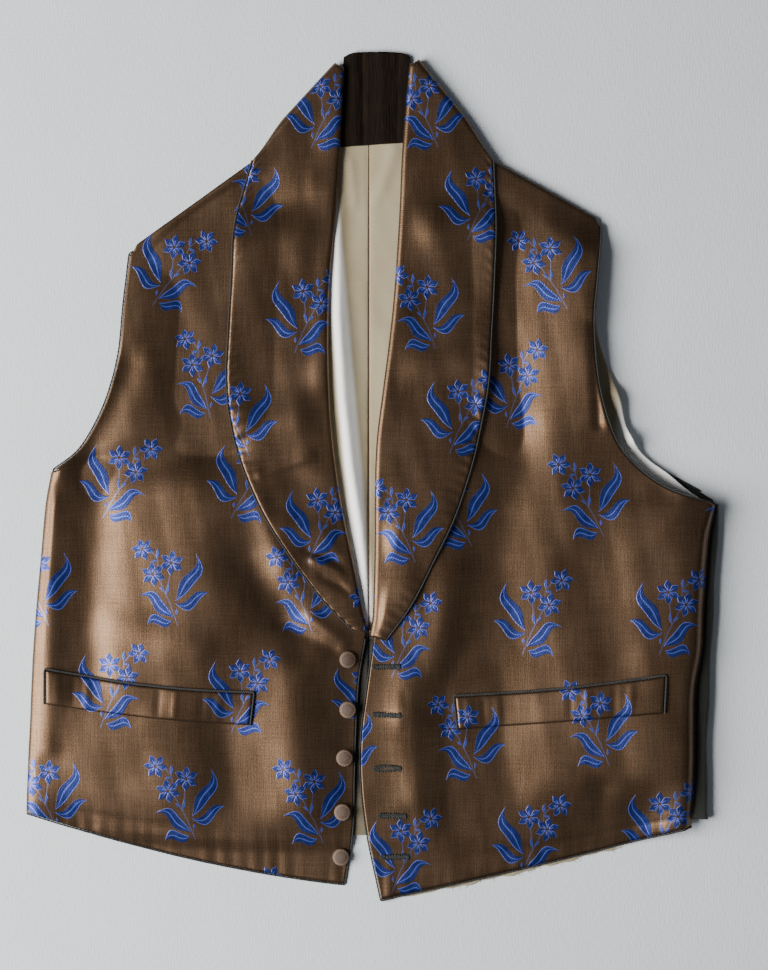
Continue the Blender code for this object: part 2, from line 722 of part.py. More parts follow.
def button(name, surface, centre):
    """A covered button: a domed disc with a rounded rim, on the cloth over its shank."""
    rest = resting_height(surface, centre, BUTTON_D / 3) + GAP
    points = []
    for ring in BUTTON_PROFILE:
        for k in range(BUTTON_SIDES):
            turn = 2 * math.pi * k / BUTTON_SIDES
            away = Vector((math.cos(turn), math.sin(turn))) * ring.radius * BUTTON_D / 2
            points.append(Vector((centre.x + away.x, centre.y + away.y, rest + ring.height * BUTTON_H)))
    faces = []
    for ring in range(len(BUTTON_PROFILE) - 1):
        for k in range(BUTTON_SIDES):
            a, b = ring * BUTTON_SIDES + k, ring * BUTTON_SIDES + (k + 1) % BUTTON_SIDES
            faces.append((a, b, b + BUTTON_SIDES, a + BUTTON_SIDES))
    last = len(points) - BUTTON_SIDES
    faces.append(tuple(range(BUTTON_SIDES - 1, -1, -1)))
    faces.append(tuple(range(last, last + BUTTON_SIDES)))
    mesh_object(name, points, faces, "button_silk")


def buttonhole(name, surface, centre):
    """The worked edge round a buttonhole: a ring of stitches with rounded ends."""
    radius = BUTTONHOLE_WIDTH / 2
    half = BUTTONHOLE_LENGTH / 2 - radius
    path = []
    for end in (1, -1):
        for k in range(HOLE_END_STEPS + 1):
            turn = math.pi * (k / HOLE_END_STEPS - end / 2)
            away = Vector((math.cos(turn), math.sin(turn), 0.0)) * radius
            path.append(Vector((centre.x + end * half, centre.y, 0.0)) + away)
        for k in range(1, HOLE_SIDE_STEPS):
            x = centre.x + end * half * (1 - 2 * k / HOLE_SIDE_STEPS)
            path.append(Vector((x, centre.y + end * radius, 0.0)))
    for place in path:
        place.z = resting_height(surface, place, radius) + STITCH_R + GAP
    cord(name, path, STITCH_R, "buttonhole_thread", sides=5, closed=True)


def faced_hem(grid):
    """The edge of the left front's lining, which shows as a sliver below its hem."""
    rows = []
    for inward in FACED_HEM:
        rows.append([Vector((place.x, place.y + inward, COTTON / 2)) for place in grid[-1][2:-3]])
    wall("front_lining_left", rows, COTTON, "lining_cotton")


def edge_cord(name, line, turn):
    """Piping along a line of a wall's edge points, just outside the wall."""
    path = moved_out(line, PIPING_R + GAP, turn)
    cord(name, path, PIPING_R, "piping_cord")


def back_pieces(left):
    """The back's shell and lining; the left half of the shell turns up to the left front's seam."""
    def side_seam(y):
        return left.at("side_x", station(left.sections, "side_y", y))

    back_half("back_shell_right", "right_x", SHELL_Z, "back_cotton", Trims(0.0, 0.0), SHELL_TOP)
    back_half("back_shell_left", "left_x", SHELL_Z, "back_cotton", LEFT_SHELL_TRIMS, SHELL_TOP, side_seam)
    back_half("back_lining_left", "left_x", LINING_Z, "lining_cotton", LEFT_LINING_TRIMS, 0)
    lining_right()


def front_pieces(front, side, collar_folds):
    """A front with its collar leaf and the piping on its edges; also what other pieces are laid on."""
    grid = front.grid()
    solid = wall(f"front_{side}", grid, SILK, "silk")
    leaf = collar_leaf(f"collar_{side}", front, grid, collar_folds)
    rows = front.stations()
    outer = COLLAR_COLUMNS + FRONT_COLUMNS
    armhole = [grid[i][outer] for i, v in enumerate(rows) if v <= front.underarm]
    edge_cord(f"piping_armhole_{side}", armhole, front.sign)
    edge = [grid[i][0] for i, v in enumerate(rows) if v > COLLAR_END]
    hem = grid[-1][1:outer + 3] if front.turned else grid[-1][1:]
    edge_cord(f"piping_front_{side}", edge + hem, -front.sign)
    raised = [row[0] + Vector((0, 0, PIPING_LIFT)) for row in leaf]
    edge_cord(f"piping_collar_{side}", raised, front.sign)
    return grid, leaf, Surface(solid)


def build():
    clear_scene()
    right = Front(RIGHT_FRONT, RIGHT_UNDERARM, -1, RIGHT_FOLDS, RIGHT_HEM_BOW, HEM_Z)
    left = Front(LEFT_FRONT, LEFT_UNDERARM, 1, LEFT_FOLDS, LEFT_HEM_BOW, FACED_HEM_Z)
    back_pieces(left)
    right_grid, right_leaf, on_right = front_pieces(right, "right", RIGHT_COLLAR_FOLDS)
    left_grid, left_leaf, on_left = front_pieces(left, "left", LEFT_COLLAR_FOLDS)
    collar_back([leaf[0][:COLLAR_COLUMNS + 1] for leaf in (right_leaf, left_leaf)])
    neck_facing(right, left)
    faced_hem(left_grid)

    for side, surface, top, bottom in (
        ("right", on_right, RIGHT_WELT_TOP, RIGHT_WELT_BOTTOM),
        ("left", on_left, LEFT_WELT_TOP, LEFT_WELT_BOTTOM),
    ):
        grid = welt(f"pocket_welt_{side}", surface, top, bottom)
        up = [row[0] for row in reversed(grid)]
        down = [row[-1] for row in grid[1:]]
        edge_cord(f"piping_welt_{side}", up + grid[0][1:] + down, 1)

    for i, centre in enumerate(BUTTONS, 1):
        button(f"button_{i}", on_right, centre)
    for i, centre in enumerate(BUTTONHOLES, 1):
        buttonhole(f"buttonhole_{i}", on_left, centre)


build()
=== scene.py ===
import math
import random
from collections import namedtuple

import bmesh
import bpy
import numpy as np
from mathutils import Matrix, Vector
from mathutils.bvhtree import BVHTree


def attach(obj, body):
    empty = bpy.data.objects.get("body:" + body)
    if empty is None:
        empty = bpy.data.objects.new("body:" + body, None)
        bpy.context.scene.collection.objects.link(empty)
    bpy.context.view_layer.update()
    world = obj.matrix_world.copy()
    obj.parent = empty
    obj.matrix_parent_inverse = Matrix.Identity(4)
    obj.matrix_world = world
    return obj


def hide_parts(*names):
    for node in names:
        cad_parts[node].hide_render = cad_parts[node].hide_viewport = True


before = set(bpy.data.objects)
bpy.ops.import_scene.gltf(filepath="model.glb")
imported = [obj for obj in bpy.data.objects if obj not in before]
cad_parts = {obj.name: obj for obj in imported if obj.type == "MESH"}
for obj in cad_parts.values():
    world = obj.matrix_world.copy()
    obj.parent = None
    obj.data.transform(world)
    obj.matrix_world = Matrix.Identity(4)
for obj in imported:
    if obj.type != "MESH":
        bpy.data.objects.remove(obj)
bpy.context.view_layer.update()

# The outer back: two halves of dark glazed cotton, seamed down the centre and laid face down on the
# surface. The left half turns up over the wearer's left side, where its seam with the front lies on top.
MM = 0.001
GAP = 0.3
COTTON = 1.0
SHELL_Z = COTTON / 2
CENTRE_SEAM_X = -3.0
BACK_HEM_Y, BACK_HEM_RISE, BACK_HEM_HALF = -268.0, 12.0, 246.0
COLLAR_FALL_Y, COLLAR_FALL_BOW, COLLAR_FALL_HALF = 258.0, 17.0, 90.0
PIPING_R = 0.8
PIPING_ROOM = 2 * PIPING_R + GAP
BackSection = namedtuple("BackSection", "y right_x left_x")
BACK = (
    BackSection(299, -20, 24),
    BackSection(268, -53, 55),
    BackSection(236, -88, 88),
    BackSection(203, -134, 147),
    BackSection(172, -178, 168),
    BackSection(130, -184, 166.5),
    BackSection(96, -187, 171.6),
    BackSection(62, -195, 184.6),
    BackSection(36, -206, 190.8),
    BackSection(12, -215, 208.4),
    BackSection(-20, -224, 259.5),
    BackSection(-60, -227, 257.4),
    BackSection(-120, -231.5, 253.6),
    BackSection(-180, -236, 250.6),
    BackSection(-225, -238, 250.4),
    BackSection(-255, -238.8, 251.6),
)
BACK_UNDERARM = 10
BACK_CORNERS = (4, BACK_UNDERARM)
SHELL_TOP = 2
SeamPoint = namedtuple("SeamPoint", "y x")
LEFT_SIDE_SEAM = (
    SeamPoint(-19.9, 254.9),
    SeamPoint(-55.9, 251.3),
    SeamPoint(-95.6, 248.3),
    SeamPoint(-127.9, 246.8),
    SeamPoint(-155.6, 242.3),
    SeamPoint(-180.4, 241.5),
    SeamPoint(-205.9, 241.5),
    SeamPoint(-232.9, 240.4),
    SeamPoint(-262.1, 238.1),
)
STRIP_BULGE, STRIP_Z = 2.6, 8.0
STRIP_WAVE, STRIP_WAVE_LENGTH = 0.5, 61.0
ROUND_STEPS = 13
SHELL_ROWS, SHELL_COLUMNS = 90, 60
EDGE_THINNING = 0.45


def smooth(t):
    t = np.clip(t, 0.0, 1.0)
    return t * t * (3.0 - 2.0 * t)


def mix(a, b, t):
    return a + (b - a) * t


def change(value, middle, length):
    """A soft step from 0 to 1 about the middle, over a length."""
    return smooth((value - middle) / length + 0.5)


def bulge(share):
    """A bulge that is 0 at both ends and 1 half way."""
    return 4.0 * share * (1.0 - share)


def through(values, t, corners=()):
    """The values at stations t of a smooth line through a column, which may turn sharply at corners."""
    values = np.asarray(values, float)
    t = np.asarray(t, float)
    last = len(values) - 1
    i = np.clip(t.astype(int), 0, last - 1)
    f = t - i
    here, there = values[i], values[i + 1]
    starts = (i == 0) | np.isin(i, corners)
    ends = (i + 2 > last) | np.isin(i + 1, corners)
    before = np.where(starts, 2 * here - there, values[np.maximum(i - 1, 0)])
    after = np.where(ends, 2 * there - here, values[np.minimum(i + 2, last)])
    bend = (2 * before - 5 * here + 4 * there - after) * f * f
    twist = (3 * here - before - 3 * there + after) * f ** 3
    return 0.5 * (2 * here + (there - before) * f + bend + twist)


def column(table, key):
    return np.array([getattr(row, key) for row in table], float)


def back_hem(x):
    return BACK_HEM_Y + BACK_HEM_RISE * ((x - CENTRE_SEAM_X) / BACK_HEM_HALF) ** 2


def collar_fall(x):
    return COLLAR_FALL_Y - COLLAR_FALL_BOW * (x / COLLAR_FALL_HALF) ** 2


def back_y(v, x, top):
    """How far up a point of the back lies: level rows that bend to the collar's edge and the hem."""
    y = through(column(BACK, "y"), v)
    if top > 0:
        y = y + (collar_fall(x) - GAP - collar_fall(COLLAR_FALL_HALF)) * (1 - change(v, top + 1.0, 2.0))
    return mix(y, back_hem(x), change(v, len(BACK) - 2.5, 3.0))


def unit(vectors):
    return vectors / np.maximum(np.linalg.norm(vectors, axis=1), 1e-12)[:, None]


def run_along(line):
    """How far along a line of places each of them lies."""
    return np.concatenate([[0.0], np.cumsum(np.linalg.norm(np.diff(line, axis=0), axis=1))])


def arc(angle, bulge_out, top, bottom):
    """Round a fold from its top: how far out, and how high, at an angle from 0 to half a turn."""
    return bulge_out * np.sin(angle), (top + bottom) / 2 + (top - bottom) / 2 * np.cos(angle)


def in_scene(name, data):
    made = bpy.data.objects.new(name, data)
    bpy.context.scene.collection.objects.link(made)
    return made


def made_piece(name, points, faces, uvs, surface):
    """An object from its points and faces in metres, with a place on the flat cloth for each point."""
    mesh = bpy.data.meshes.new(name)
    mesh.from_pydata(points.tolist(), [], faces)
    layer = mesh.uv_layers.new(name="cloth")
    corners = np.zeros(len(mesh.loops), int)
    mesh.loops.foreach_get("vertex_index", corners)
    layer.uv.foreach_set("vector", uvs[corners].astype(np.float32).ravel())
    mesh.shade_smooth()
    mesh.materials.append(surface)
    return in_scene(name, mesh)


def belongs(piece, node):
    """Fixes a piece to the one body, in place of its solid where it has one."""
    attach(piece, "root")
    if node:
        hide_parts(node)


def cloth(name, place, flat, thickness, surface, hide=None):
    """A thin closed shell of cloth from a grid of points, with the cloth's own flat places as its UVs.

    The middle of the shell is the grid, in millimetres. Cells with a hidden corner are left out. The
    edges are thinned, so that they look turned and not cut.
    """
    rows, columns = place.shape[:2]
    seen = np.ones((rows, columns), bool) if hide is None else ~hide
    cells = seen[:-1, :-1] & seen[1:, :-1] & seen[:-1, 1:] & seen[1:, 1:]
    used = np.zeros((rows, columns), bool)
    for di in (0, 1):
        for dj in (0, 1):
            used[di:rows - 1 + di, dj:columns - 1 + dj] |= cells
    number = np.full((rows, columns), -1)
    number[used] = np.arange(used.sum())
    i, j = np.nonzero(cells)
    quads = np.stack([number[i, j], number[i + 1, j], number[i + 1, j + 1], number[i, j + 1]], 1)
    middle = place[used] * MM
    a, b, c, d = (middle[quads[:, k]] for k in range(4))
    crosses = np.cross(c - a, d - b)
    normals = np.zeros_like(middle)
    for k in range(4):
        np.add.at(normals, quads[:, k], crosses)
    normals = unit(normals)
    if normals[:, 2].sum() < 0:
        quads = quads[:, ::-1]
        normals = -normals
    edges = np.concatenate([np.stack([quads[:, k], quads[:, (k + 1) % 4]], 1) for k in range(4)])
    keys = {tuple(edge) for edge in edges.tolist()}
    border = np.array([edge for edge in edges.tolist() if (edge[1], edge[0]) not in keys])
    half = np.full(len(middle), thickness / 2 * MM)
    half[np.unique(border)] *= EDGE_THINNING
    upper = middle + normals * half[:, None]
    lower = middle - normals * half[:, None]
    other = len(middle)
    rim = np.stack([border[:, 1], border[:, 0], border[:, 0] + other, border[:, 1] + other], 1)
    faces = np.concatenate([quads, quads[:, ::-1] + other, rim])
    uvs = np.tile(flat[used], (2, 1)) * MM
    return made_piece(name, np.concatenate([upper, lower]), faces.tolist(), uvs, surface)


class Socket:
    """A shader socket that takes part in sums, so that shader maths reads as plain expressions."""

    def __init__(self, paint, socket):
        self.paint = paint
        self.socket = socket

    def with_other(self, operation, first, second):
        return self.paint.node("ShaderNodeMath", {"operation": operation}, {0: first, 1: second})

    def __add__(self, other):
        return self.with_other("ADD", self, other)

    def __radd__(self, other):
        return self.with_other("ADD", other, self)

    def __sub__(self, other):
        return self.with_other("SUBTRACT", self, other)

    def __rsub__(self, other):
        return self.with_other("SUBTRACT", other, self)

    def __mul__(self, other):
        return self.with_other("MULTIPLY", self, other)

    def __rmul__(self, other):
        return self.with_other("MULTIPLY", other, self)

    def __truediv__(self, other):
        return self.with_other("DIVIDE", self, other)

    def __rtruediv__(self, other):
        return self.with_other("DIVIDE", other, self)

    def __abs__(self):
        return self.paint.node("ShaderNodeMath", {"operation": "ABSOLUTE"}, {0: self})

    def __pow__(self, power):
        return self.with_other("POWER", self, power)


class Paint:
    """A procedural material for one finish, with its principled shader and the cloth's own places."""

    def __init__(self, name, **constants):
        self.material = bpy.data.materials.new(name)
        self.material.use_nodes = True
        self.tree = self.material.node_tree
        self.shader = self.tree.nodes["Principled BSDF"]
        for socket, value in constants.items():
            self.shader.inputs[socket.replace("_", " ")].default_value = value

    def node(self, kind, settings=None, inputs=None, output=0):
        """One node: its settings are made first, then the values or links of its sockets."""
        made = self.tree.nodes.new(kind)
        for key, value in (settings or {}).items():
            setattr(made, key, value)
        for key, value in (inputs or {}).items():
            if isinstance(value, Socket):
                self.tree.links.new(value.socket, made.inputs[key])
            else:
                made.inputs[key].default_value = value
        return Socket(self, made.outputs[output])

    def math(self, operation, *values):
        return self.node("ShaderNodeMath", {"operation": operation}, dict(enumerate(values)))

    def step(self, value, middle, length):
        """A soft step from 0 to 1 as value passes the middle."""
        settings = {"interpolation_type": "SMOOTHSTEP"}
        inputs = {"Value": value, "From Min": middle - length / 2, "From Max": middle + length / 2}
        return self.node("ShaderNodeMapRange", settings, inputs)

    def two_axes(self, place):
        """A place's first two axes, in millimetres."""
        apart = self.tree.nodes.new("ShaderNodeSeparateXYZ")
        self.tree.links.new(place.socket, apart.inputs[0])
        return Socket(self, apart.outputs[0]) / MM, Socket(self, apart.outputs[1]) / MM

    def cloth_place(self):
        """Across and along the flat cloth, in millimetres."""
        return self.two_axes(self.node("ShaderNodeUVMap", {"uv_map": "cloth"}))

    def plan_place(self):
        """Across and up the piece as it lies, in millimetres."""
        return self.two_axes(self.node("ShaderNodeTexCoord", output=3))

    def noise(self, across, along, detail=2.0, roughness=0.5):
        """Noise from -1 to 1 at places that are already scaled to its size."""
        place = self.node("ShaderNodeCombineXYZ", None, {0: across, 1: along})
        inputs = {"Vector": place, "Scale": 1.0, "Detail": detail, "Roughness": roughness}
        return self.node("ShaderNodeTexNoise", {"noise_dimensions": "2D"}, inputs) * 2.0 - 1.0

    def blend(self, share, first, second):
        """A colour between two others."""
        return self.node("ShaderNodeMix", {"data_type": "RGBA"}, {0: share, 6: first, 7: second}, output=2)

    def finish(self, colour, roughness, height=None, depth=1.0):
        """Links what varies over the surface: its colour, roughness and relief, in millimetres."""
        self.tree.links.new(colour.socket, self.shader.inputs["Base Color"])
        self.tree.links.new(roughness.socket, self.shader.inputs["Roughness"])
        if height is not None:
            inputs = {"Strength": 1.0, "Distance": depth * MM, "Height": height}
            relief = self.node("ShaderNodeBump", None, inputs)
            self.tree.links.new(relief.socket, self.shader.inputs["Normal"])
        return self.material


def plain_weave(paint, across, along, pitch):
    """The over and under of a plain weave, from -1 to 1."""
    turn = 2 * math.pi / pitch
    return paint.math("SINE", across * turn) * paint.math("SINE", along * turn)


def glazed_cotton():
    paint = Paint("back_cotton", Specular_IOR_Level=0.4, Sheen_Weight=0.15, Sheen_Roughness=0.4)
    across, along = paint.cloth_place()
    weave = plain_weave(paint, across, along, 0.9)
    wear = paint.noise(across / 22.0, along / 34.0, 4.0)
    slub = paint.noise(across / 1.2, along / 40.0)
    shade = wear * 0.35 + slub * 0.15 + 0.5
    colour = paint.blend(shade, (0.008, 0.010, 0.007, 1.0), (0.030, 0.033, 0.022, 1.0))
    return paint.finish(colour, 0.62 + wear * 0.08, weave * 0.5 + slub * 0.4 + wear, 0.12)


BACK_COTTON = glazed_cotton()


def back_grid(side, top, rows, columns, trim_armhole=0.0, trim_side=0.0):
    """A half of the back: the stations of its rows, how far each reaches, and its places in plan."""
    sign = -1 if side == "right_x" else 1
    v = np.concatenate([
        np.linspace(top, BACK_UNDERARM, rows, endpoint=False),
        np.linspace(BACK_UNDERARM, len(BACK) - 1, rows // 2),
    ])
    reach = through(column(BACK, side), v, BACK_CORNERS)
    reach = reach - sign * mix(trim_armhole, trim_side, change(v, BACK_UNDERARM - 0.5, 0.6))
    seam = CENTRE_SEAM_X + sign * 0.1
    x = mix(seam, reach[:, None], np.linspace(0.0, 1.0, columns)[None, :])
    y = back_y(v[:, None] + 0 * x, x, top)
    return v, x, y


def seam_pucker(x, y, seam_x, depth):
    """The soft dimples along a sewn seam."""
    away = np.abs(x - seam_x)
    return -depth * np.exp(-(away / 2.2) ** 2) * (1.0 + 0.5 * np.sin(y / 2.1) * np.sin(y / 17.0))


def outer_back(side):
    """One half of the outer back, face down; the left half goes on up round the side to its seam."""
    left = side == "left_x"
    v, x, y = back_grid(side, SHELL_TOP, SHELL_ROWS, SHELL_COLUMNS, PIPING_ROOM if left else 0.0)
    turned = left & (v >= BACK_UNDERARM)
    if left:
        pull = np.where(turned, STRIP_BULGE + COTTON / 2, 0.0)[:, None]
        x = x - pull * np.linspace(0.0, 1.0, x.shape[1])[None, :]
    z = SHELL_Z + 0.0 * x
    flat = np.stack([x, y], 2)
    place = np.stack([x, y, z], 2)
    if not left:
        return place, flat, None
    edge = place[:, -1]
    angles = np.linspace(0.0, math.pi, ROUND_STEPS)[1:]
    ripple = STRIP_WAVE * np.sin(edge[:, 1] / STRIP_WAVE_LENGTH * 2 * math.pi)
    ripple += 0.6 * STRIP_WAVE * np.sin(edge[:, 1] / 23.0 + 1.0)
    seam = np.interp(-edge[:, 1], [-p.y for p in LEFT_SIDE_SEAM], [p.x for p in LEFT_SIDE_SEAM])
    parts, flats = [place], [flat]
    for angle in angles:
        out, height = arc(angle, STRIP_BULGE, SHELL_Z, STRIP_Z)
        step = np.stack([edge[:, 0] + out + ripple * np.sin(angle), edge[:, 1], height + 0 * ripple], 1)
        parts.append(step[:, None])
        flats.append(np.stack([edge[:, 0] + angle * STRIP_Z / 2, edge[:, 1]], 1)[:, None])
    for share in (0.33, 0.66, 1.0):
        run = mix(edge[:, 0], seam + GAP / 2, share)
        dip = 0.5 * ripple * math.sin(math.pi * share)
        parts.append(np.stack([run, edge[:, 1], STRIP_Z + dip], 1)[:, None])
        flats.append(np.stack([2 * edge[:, 0] + math.pi * STRIP_Z / 2 - run, edge[:, 1]], 1)[:, None])
    whole = np.concatenate(parts, 1)
    hide = np.zeros(whole.shape[:2], bool)
    hide[~turned, place.shape[1]:] = True
    return whole, np.concatenate(flats, 1), hide


for side, name in (("right_x", "back_shell_right"), ("left_x", "back_shell_left")):
    place, flat, hide = outer_back(side)
    piece = cloth(name + "_cloth", place, flat, COTTON * 0.8, BACK_COTTON, hide)
    belongs(piece, name)
    side == "right_x"


# The back's lining: cream cotton in two halves, seamed down the middle with brown thread, lying inside
# the outer back. It shows in the V and in the left armhole, and has one long soft fold inside the V.
LINING_Z = COTTON + GAP + COTTON / 2
LINING_TOP = COTTON + GAP + COTTON
LINING_ROWS, LINING_COLUMNS = 110, 110
LINING_RIGHT_INSET = 1.5
LINING_ARMHOLE_INSET, LINING_SIDE_INSET = 0.6, 8.0
Ridge = namedtuple("Ridge", "y x rise left_width right_width")
LINING_RIDGE = (
    Ridge(215, -22, 0, 4, 3),
    Ridge(178, -26.5, 3.6, 4.6, 5),
    Ridge(120, -26, 7, 4.6, 7.5),
    Ridge(60, -22.5, 7.6, 4.6, 8.5),
    Ridge(10, -17, 7.2, 4.4, 7.5),
    Ridge(-40, -9.5, 5.4, 3.6, 5.5),
    Ridge(-85, -5, 2.6, 2.6, 3),
    Ridge(-118, -3.2, 0, 2, 2),
)
Fold = namedtuple("Fold", "x0 y0 x1 y1 width rise")
LINING_FOLDS = (
    Fold(16, 246, 4, 208, 5, 1.2),
    Fold(6, 206, 14, 120, 6, -0.8),
    Fold(-17, 236, -14, 205, 4, 0.9),
    Fold(12, 110, 7, 20, 7, 0.9),
    Fold(182, 62, 196, 30, 7, 5),
    Fold(196, 30, 236, -4, 7, 5.6),
    Fold(172, 100, 184, 58, 5, 1.6),
)
Wave = namedtuple("Wave", "across along phase")
CLOTH_WAVES = (Wave(1.0, 0.35, 0.3), Wave(-0.45, 0.9, 2.1), Wave(0.7, -1.2, 4.4), Wave(1.7, 0.8, 1.2))


def rise_of(folds, x, y):
    """How far a set of folds lifts the cloth at each place."""
    total = np.zeros(np.shape(x))
    for fold in folds:
        run_x, run_y = fold.x1 - fold.x0, fold.y1 - fold.y0
        share = ((x - fold.x0) * run_x + (y - fold.y0) * run_y) / (run_x ** 2 + run_y ** 2)
        share = np.clip(share, 0.0, 1.0)
        away = (x - fold.x0 - run_x * share) ** 2 + (y - fold.y0 - run_y * share) ** 2
        total = total + fold.rise * np.exp(-away / fold.width ** 2)
    return total


def ripples(x, y, size, depth, turn=0.0):
    """The slight unevenness of cloth that was worn and folded, from a few crossing waves."""
    total = 0.0
    for k, wave in enumerate(CLOTH_WAVES):
        angle = (x * wave.across + y * wave.along) * 2 * math.pi / size + wave.phase + turn * (k + 1)
        total = total + np.sin(angle) / (1.0 + 0.6 * k)
    return depth * total / 2.2


def lining_half(side):
    inset = LINING_RIGHT_INSET if side == "right_x" else LINING_ARMHOLE_INSET
    low_inset = LINING_RIGHT_INSET if side == "right_x" else LINING_SIDE_INSET
    v, x, y = back_grid(side, 0, LINING_ROWS, LINING_COLUMNS, inset, low_inset)
    z = LINING_Z + ripples(x, y, 31.0, 0.22) + seam_pucker(x, y, CENTRE_SEAM_X, 0.5)
    z = z + np.maximum(0.0, rise_of(LINING_FOLDS, x, y))
    order = -column(LINING_RIDGE, "y")
    crest = np.minimum(np.interp(-y, order, column(LINING_RIDGE, "x")), CENTRE_SEAM_X - 1.5)
    rise = np.interp(-y, order, column(LINING_RIDGE, "rise"))
    left = np.interp(-y, order, column(LINING_RIDGE, "left_width"))
    right = np.interp(-y, order, column(LINING_RIDGE, "right_width"))
    away = (x - crest) / np.where(x < crest, left, right)
    z = z + rise * np.exp(-np.abs(away) ** 1.6) * smooth((CENTRE_SEAM_X - x + 6.0) / 6.0)
    return np.stack([x, y, np.maximum(z, LINING_Z - 0.25)], 2), np.stack([x, y], 2)


def lining_cotton():
    paint = Paint("lining_cotton", Specular_IOR_Level=0.25, Sheen_Weight=0.1, Sheen_Roughness=0.5)
    across, along = paint.cloth_place()
    weave = plain_weave(paint, across, along, 0.8)
    stain = paint.noise(across / 30.0, along / 55.0, 3.0)
    slub = paint.noise(across / 45.0, along / 0.7)
    seam = paint.step(abs(across - CENTRE_SEAM_X), 0.45, 0.5)
    colour = paint.blend(stain * 0.5 + slub * 0.12 + 0.45, (0.40, 0.34, 0.23, 1.0), (0.30, 0.24, 0.135, 1.0))
    # Painted highlight: the lining is painted near white along the crest of its fold in the V, and over the
    # lower part of the left armhole, where it catches the window's light.
    crest = 1 - paint.step(abs(across + 14.6 + along * 0.087), 6.0, 5.0)
    scye_highlight = paint.step(across, 184.0, 8.0) * (1 - paint.step(along, 60.0, 40.0))
    colour = paint.blend(paint.math("MAXIMUM", crest, scye_highlight), colour, (0.95, 0.94, 0.90, 1.0))
    colour = paint.blend(seam, (0.20, 0.12, 0.06, 1.0), colour)
    # Painted shadow: between the fronts, from just above the top button down to the hem, the lining is
    # painted almost black, a little less dark near the hem.
    between = (1 - paint.step(along, -114.0, 16.0)) * (1 - paint.step(abs(across + 8.0), 16.0, 8.0))
    deep = paint.step(along, -236.0, 24.0) * 0.35 + 0.62
    colour = paint.blend(between * deep, colour, (0.010, 0.008, 0.005, 1.0))
    return paint.finish(colour, 0.85 + stain * 0.05, weave * 0.4 + slub * 0.5 + stain * 0.5, 0.10)


LINING_COTTON = lining_cotton()
for side, name in (("right_x", "back_lining_right"), ("left_x", "back_lining_left")):
    place, flat = lining_half(side)
    piece = cloth(name + "_cloth", place, flat, COTTON * 0.7, LINING_COTTON)
    belongs(piece, name)


# The facing inside the back of the neck: a dark piled cloth felled over the lining's top, between the
# two roll lines. It is creased down the middle where the collar folds.
FACING = 1.1
FACING_ROWS, FACING_COLUMNS = 60, 50
FACING_TOP_Y, FACING_END_Y, FACING_SLANT = 318.6, 249.0, 3.5
FACING_TOP, FACING_END = (-22.0, 28.0), (-26.5, 25.5)
FACING_SHOULDER = 4.0
FACING_FOLDS = (
    Fold(-8, 318, -7, 250, 1.6, -0.9),
    Fold(-14, 318, -14, 250, 3.2, 0.9),
    Fold(6, 318, 8, 252, 5, 1),
    Fold(19, 316, 18, 252, 2, -0.5),
)


def neck_facing_grid():
    down = np.linspace(0.0, 1.0, FACING_ROWS)[:, None]
    share = np.linspace(0.0, 1.0, FACING_COLUMNS)[None, :]
    x = mix(mix(FACING_TOP[0], FACING_END[0], down), mix(FACING_TOP[1], FACING_END[1], down), share)
    y = mix(FACING_TOP_Y, FACING_END_Y, down) + FACING_SLANT * (share - 0.5) * down
    y = y - FACING_SHOULDER * (1 - down) * np.abs(2 * share - 1) ** 5
    z = LINING_TOP + GAP + FACING / 2 + rise_of(FACING_FOLDS, x, y)
    return np.stack([x, y, z], 2), np.stack([x, y], 2)


def piled_cloth():
    paint = Paint("facing_cloth", Specular_IOR_Level=0.1, Sheen_Weight=0.05, Sheen_Roughness=0.4)
    across, along = paint.cloth_place()
    streak = paint.noise(across / 1.1, along / 18.0, 3.0)
    bloom = paint.noise(across / 9.0, along / 14.0)
    shade = streak * 0.45 + bloom * 0.35 + 0.4
    colour = paint.blend(shade, (0.002, 0.0015, 0.001, 1.0), (0.016, 0.008, 0.004, 1.0))
    return paint.finish(colour, 0.85 + bloom * 0.08, streak + bloom, 0.25)


FACING_CLOTH = piled_cloth()
place, flat = neck_facing_grid()
neck_facing = cloth("neck_facing_cloth", place, flat, FACING * 0.8, FACING_CLOTH)
belongs(neck_facing, "neck_facing")


# The two fronts: brown silk with sprays of flowers woven in blue, one piece each from the shoulder to the
# hem. Each lies over the back; the right one wraps round the side and its seam is underneath.
SILK, SILK_SHOWN = 1.8, 1.4
CLEAR = 0.4
FRONT_Z = LINING_TOP + CLEAR + SILK / 2
HEM_Z = SILK / 2 + 0.05
FACED_HEM_Z = COTTON + CLEAR + SILK / 2
EDGE_Z, ROLL_Z, SIDE_Z, ARMHOLE_Z = 4.0, 6.6, 7.8, 4.6
PUFF, CHEST_PUFF, FOLD_FADE, SIDE_FADE = 2.6, 0.1, 4.0, 8.0
HEM_DROP, HEM_CLEAR = 14.0, 2.0
SIDE_BULGE, SIDE_RUN, SEAM_ROOM = 6.5, 12.0, 0.35
ROLL_BULGE, COLLAR = 3.2, 1.5
CORNER_ROUND = 2.2
COLLAR_END, HEM = 10, 15
FRONT_ROWS, EDGE_COLUMNS, BODY_COLUMNS, TURN_COLUMNS, UNDER_COLUMNS = 262, 30, 76, 12, 5
Section = namedtuple("Section", "edge_x edge_y collar_x collar_y side_x side_y")
